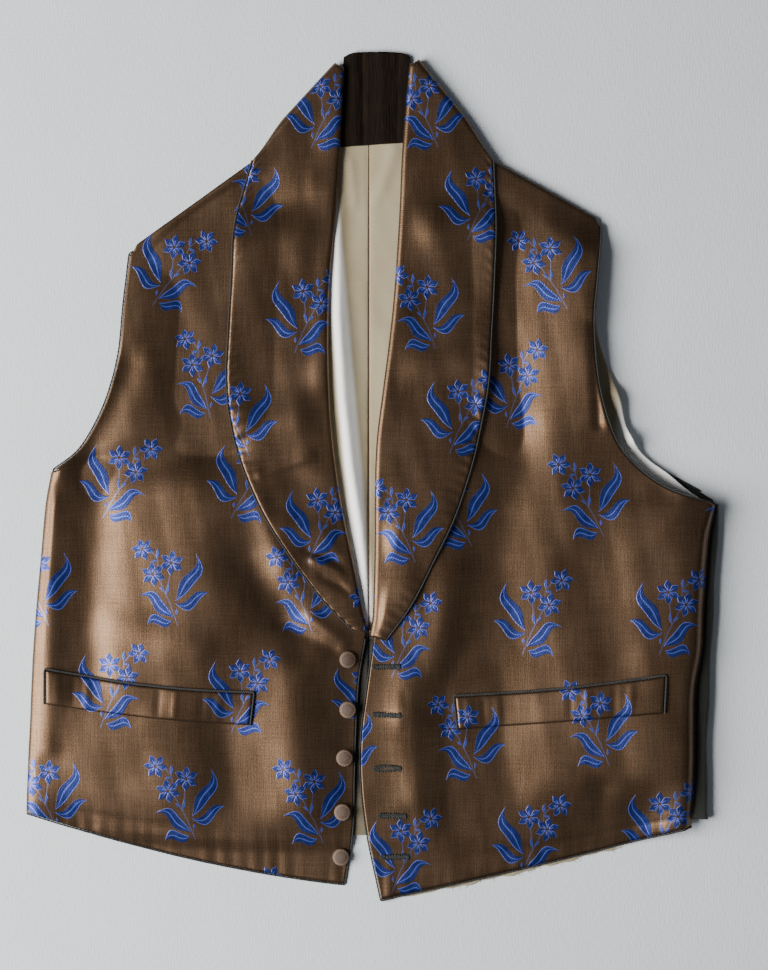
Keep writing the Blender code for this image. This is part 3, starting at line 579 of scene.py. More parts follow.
RIGHT_FRONT = (
    Section(-21, 307, -89.5, 237, -183, 170),
    Section(-24, 247, -102, 191.5, -187.5, 129.5),
    Section(-27.7, 197, -105, 148, -191.2, 92),
    Section(-32.2, 144.5, -107.6, 103, -201.7, 54.5),
    Section(-33, 107, -108.8, 74.5, -219.7, 21.5),
    Section(-32.3, 69.5, -106.5, 47, -240.8, 4),
    Section(-30, 32, -99, 14.5, -245.2, -20.5),
    Section(-24, -14.5, -83.2, -23, -248.6, -58),
    Section(-16.5, -53, -63.8, -55, -252, -95.5),
    Section(-9.8, -87.4, -38.2, -89.6, -254.6, -131),
    Section(-4, -117.4, -12.6, -115.5, -256.1, -163),
    Section(-9.4, -150.4, -24.8, -149, -256.9, -183.4),
    Section(-11.6, -185.6, -27, -183.4, -258, -204.4),
    Section(-12.8, -223.1, -28.1, -220.1, -258.7, -223.1),
    Section(-13.9, -264.4, -29.2, -260.6, -259.3, -238.1),
    Section(-19.9, -306.4, -35.2, -303.4, -259.5, -251.6),
)
LEFT_FRONT = (
    Section(27, 309.5, 89.5, 237, 172.5, 190.9),
    Section(21.8, 247, 91.2, 191.5, 168, 144.4),
    Section(19.5, 197, 90, 148, 165.8, 114.4),
    Section(15.8, 140.6, 87.8, 104.6, 169.5, 70.1),
    Section(12, 103.1, 85.5, 69.4, 180, 32.6),
    Section(7.5, 67.9, 79.5, 35.6, 195.8, 10.1),
    Section(2.6, 28.1, 72.8, 7.1, 221.3, -8.6),
    Section(1.2, -9.4, 60.8, -28.9, 254.9, -19.9),
    Section(1.1, -46.9, 45, -61.9, 251.3, -55.9),
    Section(0.4, -80.6, 28.5, -94.1, 248.3, -95.6),
    Section(-0.8, -121.9, 7.4, -123.6, 246.8, -127.9),
    Section(-6, -159.4, 9.8, -157.1, 242.3, -155.6),
    Section(-10.1, -192.4, 5.3, -190.1, 241.5, -180.4),
    Section(-10.5, -225.4, 5.3, -222.4, 241.5, -205.9),
    Section(-6, -265.9, 9.8, -262.1, 240.4, -232.9),
    Section(4.5, -318.4, 19.5, -314.6, 238.1, -262.1),
)
RIGHT_UNDERARM, LEFT_UNDERARM = 5, 7
RIGHT_HEM_BOW, LEFT_HEM_BOW = 7.0, 2.2
RIGHT_ARMHOLE_LIFT, LEFT_ARMHOLE_LIFT = 5.0, 2.4
RIGHT_FOLDS = (
    Fold(-130, -12, -130, -108, 40, 3.8),
    Fold(-208, -14, -212, -150, 18, -4),
    Fold(-240, -20, -242, -200, 8, 1.6),
    Fold(-112, 186, -118, 64, 44, -9),
    Fold(-204, 6, -116, 22, 17, -4),
    Fold(-96, -62, -55, -122, 15, -3.4),
    Fold(-57, -150, -53, -245, 24, 5.2),
    Fold(-112, -185, -106, -240, 16, -2.4),
    Fold(-150, -180, -146, -240, 32, 2.2),
    Fold(-204, -176, -202, -240, 20, 0.6),
    Fold(-200, 70, -234, 8, 9, 1.6),
    Fold(-184, 84, -214, 8, 13, -2.6),
    Fold(-70, -108, -30, -128, 6, -1.2),
    Fold(-46, -104, -22, -124, 5, 1.4),
    Fold(-84, -20, -66, -66, 9, 1.8),
    Fold(-190, -110, -130, -128, 12, 1.2),
)
LEFT_FOLDS = (
    Fold(168, 160, 174, 50, 38, 8.4),
    Fold(92, 180, 94, 40, 27, -5.4),
    Fold(108, 40, 104, -20, 18, -1.6),
    Fold(92, -40, 92, -262, 28, -4.4),
    Fold(27, -150, 25, -172, 13, 2.2),
    Fold(26, -180, 30, -240, 12, 1.8),
    Fold(62, -140, 64, -262, 17, -2.8),
    Fold(24, -160, 28.5, -262, 2.4, -0.5),
    Fold(20, -190, 22.5, -246, 1.8, -0.3),
    Fold(237, -34, 233, -222, 48, 11.6),
    Fold(192, -30, 200, -130, 16, 1.4),
    Fold(198, -170, 204, -240, 14, 1.2),
    Fold(160, -126, 162, -244, 32, 3),
    Fold(172, -232, 168, -264, 9, -2),
    Fold(164, 112, 168, 40, 4, -1.6),
    Fold(190, 30, 232, -12, 7, 1.6),
    Fold(60, -70, 48, -140, 12, 2),
    Fold(128, 40, 150, -40, 16, 1.6),
)
PUCKER_PITCH, PUCKER_DEPTH, PUCKER_REACH = 11.5, 0.35, 11.0
HEM_STITCH_AT, HEM_STITCH_WIDTH, HEM_STITCH_DEPTH = 10.0, 1.8, 0.35


class Front:
    """One front: where each place of its middle surface lies, from its sections and folds."""

    def __init__(self, sections, underarm, sign, folds, hem_bow, hem_z, armhole_lift):
        self.sections = sections
        self.underarm = underarm
        self.sign = sign
        self.folds = folds
        self.hem_bow = hem_bow
        self.hem_z = hem_z
        self.armhole_lift = armhole_lift
        self.turned = sign < 0

    def at(self, key, v):
        corners = (self.underarm,) if key.startswith("side") else (COLLAR_END,)
        return through(column(self.sections, key), v, corners)

    def ends(self, v):
        """The section's three places in plan, clear of the piping, the roll and the neighbour's seam."""
        edge = np.stack([self.at("edge_x", v), self.at("edge_y", v)], -1)
        collar = np.stack([self.at("collar_x", v), self.at("collar_y", v)], -1)
        side = np.stack([self.at("side_x", v), self.at("side_y", v)], -1)
        room = mix(ROLL_BULGE + COLLAR / 2, PIPING_ROOM, change(v, COLLAR_END - 0.25, 0.5))
        edge[..., 0] += self.sign * room
        out = side - collar
        out = out / np.linalg.norm(out, axis=-1)[..., None]
        on_side = change(v, self.underarm - 0.12, 0.24)
        at_side = SILK / 2 if self.turned else SEAM_ROOM
        side = side - out * mix(PIPING_ROOM, at_side, on_side)[..., None]
        lift = PIPING_ROOM * np.maximum(0.0, v - HEM + 1)
        for end in (edge, collar, side):
            end[..., 1] += lift
        return edge, collar, side, out

    def level(self, v, share, x, y):
        """The height of the middle surface at a share of the way from the edge to the side."""
        edge_level = mix(ROLL_Z, EDGE_Z, change(v, COLLAR_END + 0.2, 1.6))
        at_side = change(v, self.underarm + 0.1, 1.4)
        armhole = ARMHOLE_Z + self.armhole_lift * change(v, 1.0, 1.8)
        side_level = mix(armhole, SIDE_Z, at_side)
        shoulder = change(v, 0.3, 0.6)
        hem = 1.0 - change(v, HEM - 0.9, 1.8)
        hem = mix(hem, 1.0, change(share, 0.89, 0.18) * at_side)
        body = mix(edge_level, side_level, smooth(share)) - FRONT_Z
        middle = bulge(share)
        fade = np.where(share < 0.5, smooth(middle * FOLD_FADE), smooth(middle * SIDE_FADE + 1.0 - at_side))
        puff = PUFF * mix(CHEST_PUFF, 1.0, change(v, 6.5, 3.0)) * middle
        puff = (puff + rise_of(self.folds, x, y) * fade) * shoulder
        over_back = change(y, back_hem(x) - HEM_DROP / 2 - HEM_CLEAR, HEM_DROP)
        ground = mix(self.hem_z, FRONT_Z, over_back)
        return ground + np.maximum(0.0, body + puff) * hem

    def surface(self, v, c):
        """Places of the front and of its flat cloth: c is 0 at the edge, 1 at the collar, 2 at the side."""
        edge, collar, side, out = self.ends(v)
        fold = np.where(self.turned & (v >= self.underarm)[..., None], side - out * SIDE_BULGE, side)
        reach = np.linalg.norm(collar - edge, axis=-1)
        whole = reach + np.linalg.norm(side - collar, axis=-1)
        first = edge + (collar - edge) * np.minimum(c, 1.0)[..., None]
        second = collar + (fold - collar) * np.clip(c - 1.0, 0, 1)[..., None]
        place = np.where((c <= 1.0)[..., None], first, second)
        beyond = np.linalg.norm(place - collar, axis=-1)
        share = np.where(c <= 1.0, np.linalg.norm(place - edge, axis=-1), reach + beyond) / whole
        x = place[..., 0]
        y = place[..., 1] - self.hem_bow * change(v, HEM - 1.25, 2.5) * bulge(share)
        z = self.level(v, share, x, y) + self.detail(v, c, share, x, y)
        corner = smooth((c - 1.94) / 0.06) * (1.0 - smooth(v / 0.11)) * (c <= 2.0)
        x = x - self.sign * CORNER_ROUND * corner
        y = y - CORNER_ROUND * corner
        flat = np.stack([x, y], -1)
        angle = math.pi * np.clip(c - 2.0, 0.0, 1.0)
        top = self.level(v, np.ones_like(v), side[..., 0], side[..., 1])
        away, height = arc(angle, SIDE_BULGE, top, HEM_Z)
        away = away - SIDE_RUN * np.clip(c - 3.0, 0.0, 1.0)
        under = np.clip(c - 2.0, 0.0, 2.0)
        x = x + out[..., 0] * away * (under > 0)
        y = y + out[..., 1] * away * (under > 0)
        z = np.where(under > 0, height, z)
        round_it = (SIDE_BULGE + (top - HEM_Z) / 2) / 2 * angle + SIDE_RUN * np.clip(c - 3.0, 0.0, 1.0)
        return np.stack([x, y, z], -1), flat + out * round_it[..., None]

    def detail(self, v, c, share, x, y):
        """Small relief: the hem's dimples and stitched crease, and the cloth's own unevenness."""
        last_y, next_y = (self.at("side_y", np.asarray(station)) for station in (HEM, HEM - 1))
        to_hem = (HEM - v) * np.abs(last_y - next_y)
        low = change(v, HEM - 1.0, 1.2)
        wander = 2.2 * np.sin(x / 31.0) + 1.3 * np.sin(x / 12.0 + 1.0)
        uneven = 0.5 + 0.5 * np.sin(x / 11.0 + self.sign) * np.sin(x / 27.0 + 0.6)
        pucker = np.sin((x + wander) * 2 * math.pi / PUCKER_PITCH) * uneven
        relief = PUCKER_DEPTH * pucker * np.exp(-(to_hem / PUCKER_REACH) ** 2) * low
        relief -= HEM_STITCH_DEPTH * np.exp(-((to_hem - HEM_STITCH_AT) / HEM_STITCH_WIDTH) ** 2) * low
        quiet = smooth(bulge(share) * 3.0)
        relief += (ripples(x, y, 52.0, 0.34, self.sign) + ripples(x, 0.45 * y, 21.0, 0.10, 3.1)) * quiet
        return relief


def front_cloth(front):
    rows = np.linspace(0.0, HEM, FRONT_ROWS)
    columns = [np.linspace(0.0, 1.0, EDGE_COLUMNS), np.linspace(1.0, 2.0, BODY_COLUMNS)[1:]]
    if front.turned:
        columns += [np.linspace(2.0, 3.0, TURN_COLUMNS)[1:], np.linspace(3.0, 4.0, UNDER_COLUMNS)[1:]]
    v, c = np.meshgrid(rows, np.concatenate(columns), indexing="ij")
    place, flat = front.surface(v, c)
    hide = (v < front.underarm) & (c > 2.0)
    return place, flat, hide


# Where the sprays lie on each panel: the middle of each in plan, and its column and row in the weave.
# Odd rows are woven the other way round and half a repeat along.
Spray = namedtuple("Spray", "x y column row lean")
ACROSS, UP = 97.0, 82.0
SPRAY_HOLD = 3.0
RIGHT_SPRAYS = (
    Spray(-148.5, 157.1, 0, 0, -12),
    Spray(-126, 76.9, 0.5, -1, -10),
    Spray(-188.2, -0.4, 0, -2, -7),
    Spray(-92.2, -0.4, 1, -2, -7),
    Spray(-252, -79, -0.5, -3, 0),
    Spray(-153.8, -78.4, 0.5, -3, -3),
    Spray(-53.4, -84.4, 1.5, -3, -3),
    Spray(-193.4, -155, 0, -4, 0),
    Spray(-96, -159.4, 1, -4, 0),
    Spray(-245, -235, -0.5, -5, 0),
    Spray(-142.5, -239.6, 0.5, -5, 0),
    Spray(-47.2, -241.9, 1.5, -5, 0),
)
LEFT_SPRAYS = (
    Spray(131.2, 155.6, 1.5, -1, 7),
    Spray(106.5, 69.4, 1, -2, 6),
    Spray(159.8, -13.1, 1.5, -3, 4),
    Spray(61.5, -20.6, 0.5, -3, 4),
    Spray(121.5, -100.9, 1, -4, 0),
    Spray(222.4, -100.2, 2, -4, 0),
    Spray(24, -118.1, 0, -4, 0),
    Spray(67.8, -194, 0.5, -5, 0),
    Spray(166, -183, 1.5, -5, 0),
    Spray(120.2, -269, 1, -6, 0),
    Spray(217, -258, 2, -6, 0),
    Spray(24, -279.4, 0, -6, 0),
)


def weave_map(sprays):
    """Carries places on a panel to places in the weave, where each spray keeps its form and leans."""
    spots = np.stack([column(sprays, "x"), column(sprays, "y")], 1)
    across, along = column(sprays, "column") * ACROSS, column(sprays, "row") * UP
    lean = np.radians(column(sprays, "lean"))
    cos, sin = np.cos(lean), np.sin(lean)

    def carried(flat):
        away = flat[..., None, :] - spots
        weight = (np.sum(away ** 2, -1) + 1.0) ** -SPRAY_HOLD
        weight = weight / weight.sum(-1, keepdims=True)
        u = across + away[..., 0] * cos + away[..., 1] * sin
        v = along - away[..., 0] * sin + away[..., 1] * cos
        return np.stack([(u * weight).sum(-1), (v * weight).sum(-1)], -1)

    return carried


# The woven spray, in millimetres from its middle: four leaves, three flowers, stems and buds.
Leaf = namedtuple("Leaf", "x0 y0 x1 y1 sways half")
SPRAY_TURN = math.radians(12.0)
SPRAY_LEAVES = (
    Leaf(-9.8, -12.2, -15.2, 27.4, (5, -2.4, 1.2), 4.9),
    Leaf(-9.4, -13, -32.5, 1, (3, 2.6, 0), 4.2),
    Leaf(-12.2, -23.6, 18, -15.2, (3.6, -2.6, 1), 4.5),
    Leaf(-11.5, -26.2, 6.4, -35, (2.2, -2.4, 0), 4.3),
)
SPRAY_BUDS = (
    Leaf(-2, -8.6, -1.6, 0.6, (0.6, 0, 0), 1.2),
    Leaf(-0.6, -7, 4.4, -4.2, (0.4, 0, 0), 1.1),
    Leaf(11.4, 15.6, 13.2, 23.4, (0.4, 0, 0), 1.3),
    Leaf(10.6, 14.8, 15.6, 12.6, (-0.4, 0, 0), 1.1),
    Leaf(-13.4, -21.4, -12.4, -16.4, (0.3, 0, 0), 1),
)
Bloom = namedtuple("Bloom", "x y radius turn")
SPRAY_BLOOMS = (Bloom(0, 15.4, 9.6, 0.15), Bloom(24, 19.6, 9.2, 0.62), Bloom(11.2, 3.6, 9.6, 0.40))
Stem = namedtuple("Stem", "x0 y0 x1 y1")
SPRAY_STEMS = (
    Stem(-16, -28.4, -12.2, -22.6),
    Stem(-12.2, -22.6, -6.6, -14.2),
    Stem(-6.6, -14.2, -1, -7.4),
    Stem(-1, -7.4, 6.4, 1.5),
    Stem(-2.6, -9.2, -0.6, 10),
    Stem(8.4, 7, 11, 15.2),
    Stem(11, 15.2, 18, 20.4),
)
PETALS = 6


def woven_leaf(paint, x, y, leaf):
    """How far inside a curved, pointed leaf a place is, and where it lies across the leaf, -1 to 1."""
    dx, dy = leaf.x1 - leaf.x0, leaf.y1 - leaf.y0
    length = math.hypot(dx, dy)
    along = ((x - leaf.x0) * dx + (y - leaf.y0) * dy) / length ** 2
    aside = ((y - leaf.y0) * dx - (x - leaf.x0) * dy) / length
    for k, sway in enumerate(leaf.sways, 1):
        if sway:
            aside = aside - paint.math("SINE", along * (k * math.pi)) * sway
    room = paint.math("MAXIMUM", along * (1 - along) * 4, 0.0)
    half = room ** 1.25 * (1.14 - 0.25 * along) * leaf.half - 0.1
    return half - abs(aside), aside / paint.math("MAXIMUM", half, 0.05)


def woven_bloom(paint, x, y, bloom):
    """How far inside a petal a place is, how far beside the petal's line, and how far from the heart."""
    dx, dy = x - bloom.x, y - bloom.y
    radius = (dx * dx + dy * dy) ** 0.5
    turn = paint.math("ARCTAN2", dy, dx) * (PETALS / (2 * math.pi)) + bloom.turn
    aside = (paint.math("FRACT", turn) - 0.5) * radius * (2 * math.pi / PETALS)
    half = paint.math("MINIMUM", radius * 0.47, (bloom.radius - radius) * 0.78)
    return half - 0.12 - abs(aside), aside, radius


def distance_to(paint, x, y, stem):
    """The distance from a straight stem."""
    dx, dy = stem.x1 - stem.x0, stem.y1 - stem.y0
    across, up = x - stem.x0, y - stem.y0
    share = paint.node("ShaderNodeClamp", None, {0: (across * dx + up * dy) / (dx * dx + dy * dy)})
    across, up = across - share * dx, up - share * dy
    return (across * across + up * up) ** 0.5


def figured_silk():
    """Brown silk with a fine cross rib, and the blue sprays floated over it."""
    paint = Paint("silk", Specular_IOR_Level=0.5, Sheen_Weight=0.04, Sheen_Roughness=0.4)
    across, along = paint.cloth_place()
    row = paint.math("FLOOR", along / UP + 0.5)
    odd = paint.math("PINGPONG", row, 1.0)
    column_at = across / ACROSS - odd * 0.5
    up = (along / UP - row) * UP
    side = (column_at - paint.math("FLOOR", column_at + 0.5)) * ACROSS * (1 - odd * 2)
    x = side * math.cos(SPRAY_TURN) + up * math.sin(SPRAY_TURN)
    y = up * math.cos(SPRAY_TURN) - side * math.sin(SPRAY_TURN)

    inside, pale = 0.0, 0.0
    for leaf in SPRAY_LEAVES:
        depth, aside = woven_leaf(paint, x, y, leaf)
        here = paint.step(depth, 0.05, 0.5)
        rib = (1 - paint.step(abs(aside + 0.1), 0.10, 0.14)) * 0.75
        edge = (1 - paint.step(depth, 0.6, 0.5)) * paint.step(aside, 0.1, 0.5)
        inside = paint.math("MAXIMUM", inside, here)
        pale = paint.math("MAXIMUM", pale, here * paint.math("MAXIMUM", rib, edge))
    for leaf in SPRAY_BUDS:
        depth, aside = woven_leaf(paint, x, y, leaf)
        here = paint.step(depth, 0.0, 0.5)
        inside = paint.math("MAXIMUM", inside, here)
        pale = paint.math("MAXIMUM", pale, here * 0.35)
    for bloom in SPRAY_BLOOMS:
        depth, aside, radius = woven_bloom(paint, x, y, bloom)
        here = paint.step(depth, 0.0, 0.45) * paint.step(radius, 1.2, 0.8)
        edge = (1 - paint.step(depth, 0.5, 0.5)) * paint.step(aside, 0.2, 0.6)
        vein = (1 - paint.step(abs(aside), 0.25, 0.3)) * (1 - paint.step(radius, 4.6, 2.0))
        edge = paint.math("MAXIMUM", edge, vein)
        inside = paint.math("MAXIMUM", inside, here)
        pale = paint.math("MAXIMUM", pale, here * edge)
    stem = 0.0
    for line in SPRAY_STEMS:
        stem = paint.math("MAXIMUM", stem, 1 - paint.step(distance_to(paint, x, y, line), 0.42, 0.5))

    across, along = paint.plan_place()
    rib = paint.math("SINE", along * (2 * math.pi / 0.62))
    slub = paint.noise(across / 30.0, along / 0.8)
    warp = paint.noise(across / 0.9, along / 26.0)
    wear = paint.noise(across / 38.0, along / 52.0, 3.0)
    float_line = paint.math("SINE", (across + along * 0.35) * (2 * math.pi / 1.15))
    grain = paint.noise(across / 1.0, along / 0.9)
    shade = wear * 0.25 + slub * 0.20 + warp * 0.28 + grain * 0.48 + 0.5
    ground = paint.blend(shade, (0.046, 0.024, 0.009, 1.0), (0.163, 0.101, 0.063, 1.0))
    # Painted highlight: glint lightens the blue floats in soft random patches, as glints of light on them.
    glint = paint.noise(across / 5.0, along / 7.0)
    lit = pale * 0.9 + float_line * 0.06 + glint * 0.16 + 0.04
    blue = paint.blend(lit, (0.003, 0.011, 0.090, 1.0), (0.100, 0.150, 0.600, 1.0))
    colour = paint.blend(stem * 0.7, ground, (0.13, 0.13, 0.27, 1.0))
    colour = paint.blend(inside, colour, blue)
    paint.tree.links.new((0.9 - inside * 0.30).socket, paint.shader.inputs["Metallic"])
    roughness = 0.40 + wear * 0.05
    raised = inside * (0.8 + pale * 0.5 + float_line * 0.4)
    height = rib * 0.12 + slub * 0.3 + warp * 0.3 + grain * 0.3 + raised
    return paint.finish(colour, roughness, height, 0.06)


SILK_CLOTH = figured_silk()
FRONTS = {
    "right": Front(RIGHT_FRONT, RIGHT_UNDERARM, -1, RIGHT_FOLDS, RIGHT_HEM_BOW, HEM_Z, RIGHT_ARMHOLE_LIFT),
    "left": Front(LEFT_FRONT, LEFT_UNDERARM, 1, LEFT_FOLDS, LEFT_HEM_BOW, FACED_HEM_Z, LEFT_ARMHOLE_LIFT),
}
WEAVES = {"right": weave_map(RIGHT_SPRAYS), "left": weave_map(LEFT_SPRAYS)}
FRONT_PIECES = {}
for side, front in FRONTS.items():
    place, flat, hide = front_cloth(front)
    piece = cloth(f"front_{side}_silk", place, WEAVES[side](flat), SILK_SHOWN, SILK_CLOTH, hide)
    belongs(piece, f"front_{side}")
    FRONT_PIECES[side] = piece


# The raw edge of the left front's lining: a sliver of thin cream cotton that has slipped below the hem and
# frayed, with a few loose threads.
FACED_HEM_INSIDE = 9.0
FACED_HEM_START, FACED_HEM_END = 1.02, 1.90
FACED_HEM_ROWS, FACED_HEM_COLUMNS = 8, 170
FRAY_STRANDS, FRAY_R, FRAY_SEED = 26, 0.11, 7


def lining_edge(front):
    c = np.linspace(FACED_HEM_START, FACED_HEM_END, FACED_HEM_COLUMNS)
    place, _ = front.surface(np.full_like(c, float(HEM)), c)
    down = np.linspace(0.0, 1.0, FACED_HEM_ROWS)[:, None]
    ragged = 1.3 + 0.7 * np.sin(c * 37.0) + 0.5 * np.sin(c * 91.0 + 1.0)
    shown = np.sin(np.clip((c - 1.02) / 0.88, 0, 1) * math.pi) ** 0.5
    reach = mix(-FACED_HEM_INSIDE, PIPING_ROOM + ragged * shown, down)
    x = place[None, :, 0] + 0 * down
    y = place[None, :, 1] - reach
    z = COTTON / 2 + 0.12 * np.sin(x / 4.0) * down
    return np.stack([x, y, z], 2), np.stack([x, y], 2)


def tube(name, path, radius, surface, sides=8, closed=False, wrap=0.0, taper=False):
    """A round cord along a path of places, with its length and its turn as UVs in millimetres."""
    path = np.asarray(path, float)
    count = len(path)
    if closed:
        ahead, behind = np.roll(path, -1, 0), np.roll(path, 1, 0)
    else:
        ahead = np.concatenate([path[1:], path[-1:]])
        behind = np.concatenate([path[:1], path[:-1]])
    along = unit(ahead - behind)
    side = unit(np.cross(along, (0.0, 0.0, 1.0)))
    up = np.cross(side, along)
    run = run_along(path)
    swell = np.full(count, radius)
    if wrap:
        swell = swell * (1.0 + 0.10 * np.sin(run * 2 * math.pi / wrap))
    if taper:
        swell = swell * np.sin(np.linspace(0.25, math.pi - 0.25, count)) ** 0.5
    points, uvs = [], []
    for k in range(sides):
        turn = 2 * math.pi * (k + 0.5) / sides
        points.append(path + (side * math.cos(turn) + up * math.sin(turn)) * swell[:, None])
        uvs.append(np.stack([run, np.full(count, turn * radius)], 1))
    points = np.stack(points, 1).reshape(-1, 3) * MM
    uvs = np.stack(uvs, 1).reshape(-1, 2) * MM
    faces = []
    for i in range(count if closed else count - 1):
        for k in range(sides):
            a, b = i * sides + k, i * sides + (k + 1) % sides
            step = ((i + 1) % count) * sides
            faces.append((a, b, step + (k + 1) % sides, step + k))
    if not closed:
        faces.append(tuple(range(sides - 1, -1, -1)))
        faces.append(tuple((count - 1) * sides + k for k in range(sides)))
    return outward(made_piece(name, points, faces, uvs, surface))


def outward(piece):
    """The piece, with its closed mesh's faces turned out."""
    work = bmesh.new()
    work.from_mesh(piece.data)
    bmesh.ops.recalc_face_normals(work, faces=work.faces)
    work.to_mesh(piece.data)
    work.free()
    return piece


def joined(name, parts):
    """Several meshes as one piece."""
    with bpy.context.temp_override(active_object=parts[0], selected_editable_objects=parts):
        bpy.ops.object.join()
    parts[0].name = name
    parts[0].data.name = name
    return parts[0]


place, flat = lining_edge(FRONTS["left"])
front_lining = cloth("front_lining_edge", place, flat, 0.5, LINING_COTTON)
chance = random.Random(FRAY_SEED)
hem_line = place[-1]
threads = [front_lining]
for k in range(FRAY_STRANDS):
    start = hem_line[int(chance.uniform(0.15, 0.95) * (len(hem_line) - 1))]
    lean, bow, length = chance.uniform(-5.0, 5.0), chance.uniform(-1.2, 1.2), chance.uniform(1.2, 4.0)
    t = np.linspace(0.0, 1.0, 9)
    x, y = start[0] + lean * t + bow * np.sin(t * math.pi), start[1] + 1.0 - length * t
    path = np.stack([x, y, 0.35 + 0.2 * np.sin(t * 5)], 1)
    threads.append(tube(f"thread_{k}", path, FRAY_R, LINING_COTTON, sides=5, taper=True))
front_lining = joined("front_lining_edge", threads)
belongs(front_lining, "front_lining_left")


# The shawl collar: two leaves of the same silk, faced and turned over the roll line so that each lies on
# its front. Each rolls over the side of the neck to the band that crosses the back underneath.
NECK_BULGE, NECK_LOW, NECK_TAPER = 4.5, COTTON / 2, 3.0
NECK_OUT = (0.72, 0.69)
ROLL_RUN, ROLL_RUN_END = 9.0, 0.9
LEAF_CROWN, LEAF_FOLD_FADE = 0.5, 3.0
LEAF_SHOWN = 1.2
LEAF_ROWS, LEAF_COLUMNS = 220, 46
RIGHT_COLLAR_FOLDS = (
    Fold(-112, 170, -116, 76, 42, 4.8),
    Fold(-26, 264, -80, 214, 20, -2),
    Fold(-32, 208, -98, 202, 12, -1.4),
    Fold(-32, 182, -98, 174, 15, 2.8),
    Fold(-34, 76, -102, 68, 13, -1.8),
    Fold(-36, 44, -98, 38, 15, 3),
    Fold(-36, -8, -76, 4, 12, -1.2),
    Fold(-46, 16, -84, 2, 4, 1.2),
    Fold(-28, -44, -64, -36, 10, 1.8),
    Fold(-24, -62, -50, -54, 4, -1.2),
    Fold(-20, -72, -44, -62, 3.5, 1.4),
    Fold(-18, -84, -38, -74, 3.5, -1),
)
LEFT_COLLAR_FOLDS = (
    Fold(90, 180, 92, 50, 28, 4.6),
    Fold(24, 206, 90, 214, 11, -1.2),
    Fold(24, 182, 88, 188, 16, 2.6),
    Fold(30, 126, 84, 122, 24, -1.6),
    Fold(22, 84, 84, 84, 14, 1.8),
    Fold(20, 54, 80, 52, 13, -1.2),
    Fold(14, -44, 54, -38, 16, 2.6),
    Fold(12, -98, 26, -90, 14, 1.6),
)
LEAF_PUCKER_PITCH, LEAF_PUCKER_DEPTH, LEAF_PUCKER_REACH = 8.5, 0.3, 7.0
RIGHT_COLLAR_SPRAYS = (
    Spray(-36, 277.1, 0, 0, 0),
    Spray(-97.2, 212.4, -0.5, -1, -6),
    Spray(-48.8, 124.1, 0, -2, 0),
    Spray(-102.3, 47.5, -0.5, -3, 0),
    Spray(-38.2, -31.9, 0, -4, 0),
)
LEFT_COLLAR_SPRAYS = (
    Spray(39, 277.1, 0.5, -1, 0),
    Spray(80.2, 208.1, 1, -2, 0),
    Spray(37.5, 127.1, 0.5, -3, 0),
    Spray(66.8, 49.1, 1, -4, 0),
    Spray(21.8, -31.9, 0.5, -5, 0),
)


def collar_leaf(front, folds):
    """A leaf's places: over the front from its outer edge, round the roll, and over the neck at its top."""
    rows = np.linspace(0.0, COLLAR_END - 0.06, LEAF_ROWS)
    v, c = np.meshgrid(rows, np.linspace(1.0, 0.0, LEAF_COLUMNS), indexing="ij")
    place, flat = front.surface(v, c)
    lift = SILK / 2 + CLEAR + COLLAR / 2 + LEAF_CROWN * bulge(c)
    lift = lift + rise_of(folds, place[..., 0], place[..., 1]) * smooth(c * LEAF_FOLD_FADE)
    to_edge = (1.0 - c) * np.linalg.norm(place[:, :1] - place[:, -1:], axis=-1)
    run = run_along(place[:, 0])
    wander = 1.6 * np.sin(run / 19.0) + run * 2 * math.pi / LEAF_PUCKER_PITCH
    depth = LEAF_PUCKER_DEPTH * (1.0 + 0.8 * np.sin(run / 31.0 + 1.2))
    pucker = (depth * np.sin(wander))[:, None] * np.exp(-(to_edge / LEAF_PUCKER_REACH) ** 2)
    place[..., 2] += lift + pucker * (to_edge > 0.1) + ripples(place[..., 0], place[..., 1], 38.0, 0.22, 2.0)
    top = place[:, -1]
    bottom = LINING_TOP + CLEAR + COLLAR / 2
    along = change(rows, 0.6, 1.5) * (1 - change(rows, COLLAR_END - 0.4, 1.5))
    in_under = mix(ROLL_RUN_END, ROLL_RUN, along)
    places, flats = [place], [flat]
    for angle in np.linspace(0.0, math.pi, ROUND_STEPS)[1:]:
        away, height = arc(angle, ROLL_BULGE, top[:, 2], bottom)
        step = np.stack([top[:, 0] - front.sign * away, top[:, 1], height], 1)
        places.append(step[:, None])
        flats.append((flat[:, -1] - [front.sign * angle * ROLL_BULGE, 0.0])[:, None])
    for share in (0.5, 1.0):
        step = np.stack([top[:, 0] + front.sign * in_under * share, top[:, 1], 0 * in_under + bottom], 1)
        places.append(step[:, None])
        turned = front.sign * (math.pi * ROLL_BULGE + in_under * share)
        flats.append((flat[:, -1] - np.stack([turned, 0 * turned], 1))[:, None])
    whole, spread = np.concatenate(places, 1), np.concatenate(flats, 1)
    return over_the_neck(front, whole, spread, place.shape[1])


def over_the_neck(front, place, flat, shown):
    """The leaf carried on over the side of the neck, down to the band under the back."""
    out = np.array((front.sign * NECK_OUT[0], NECK_OUT[1]))
    start, start_flat = place[0], flat[0]
    turns, turn_flats = [], []
    out_by = NECK_BULGE * smooth(np.linspace(0.0, 1.0, len(start)) * NECK_TAPER)
    for angle in np.linspace(math.pi, 0.0, ROUND_STEPS)[:-1]:
        away, height = arc(angle, out_by, start[:, 2], NECK_LOW)
        turns.append(np.stack([start[:, 0] + out[0] * away, start[:, 1] + out[1] * away, height], 1)[None])
        turn_flats.append((start_flat + out * (angle * NECK_BULGE * 1.2))[None])
    whole = np.concatenate(turns + [place], 0)
    hide = np.zeros(whole.shape[:2], bool)
    hide[:len(turns), shown:] = True
    return whole, np.concatenate(turn_flats + [flat], 0), hide, len(turns), shown


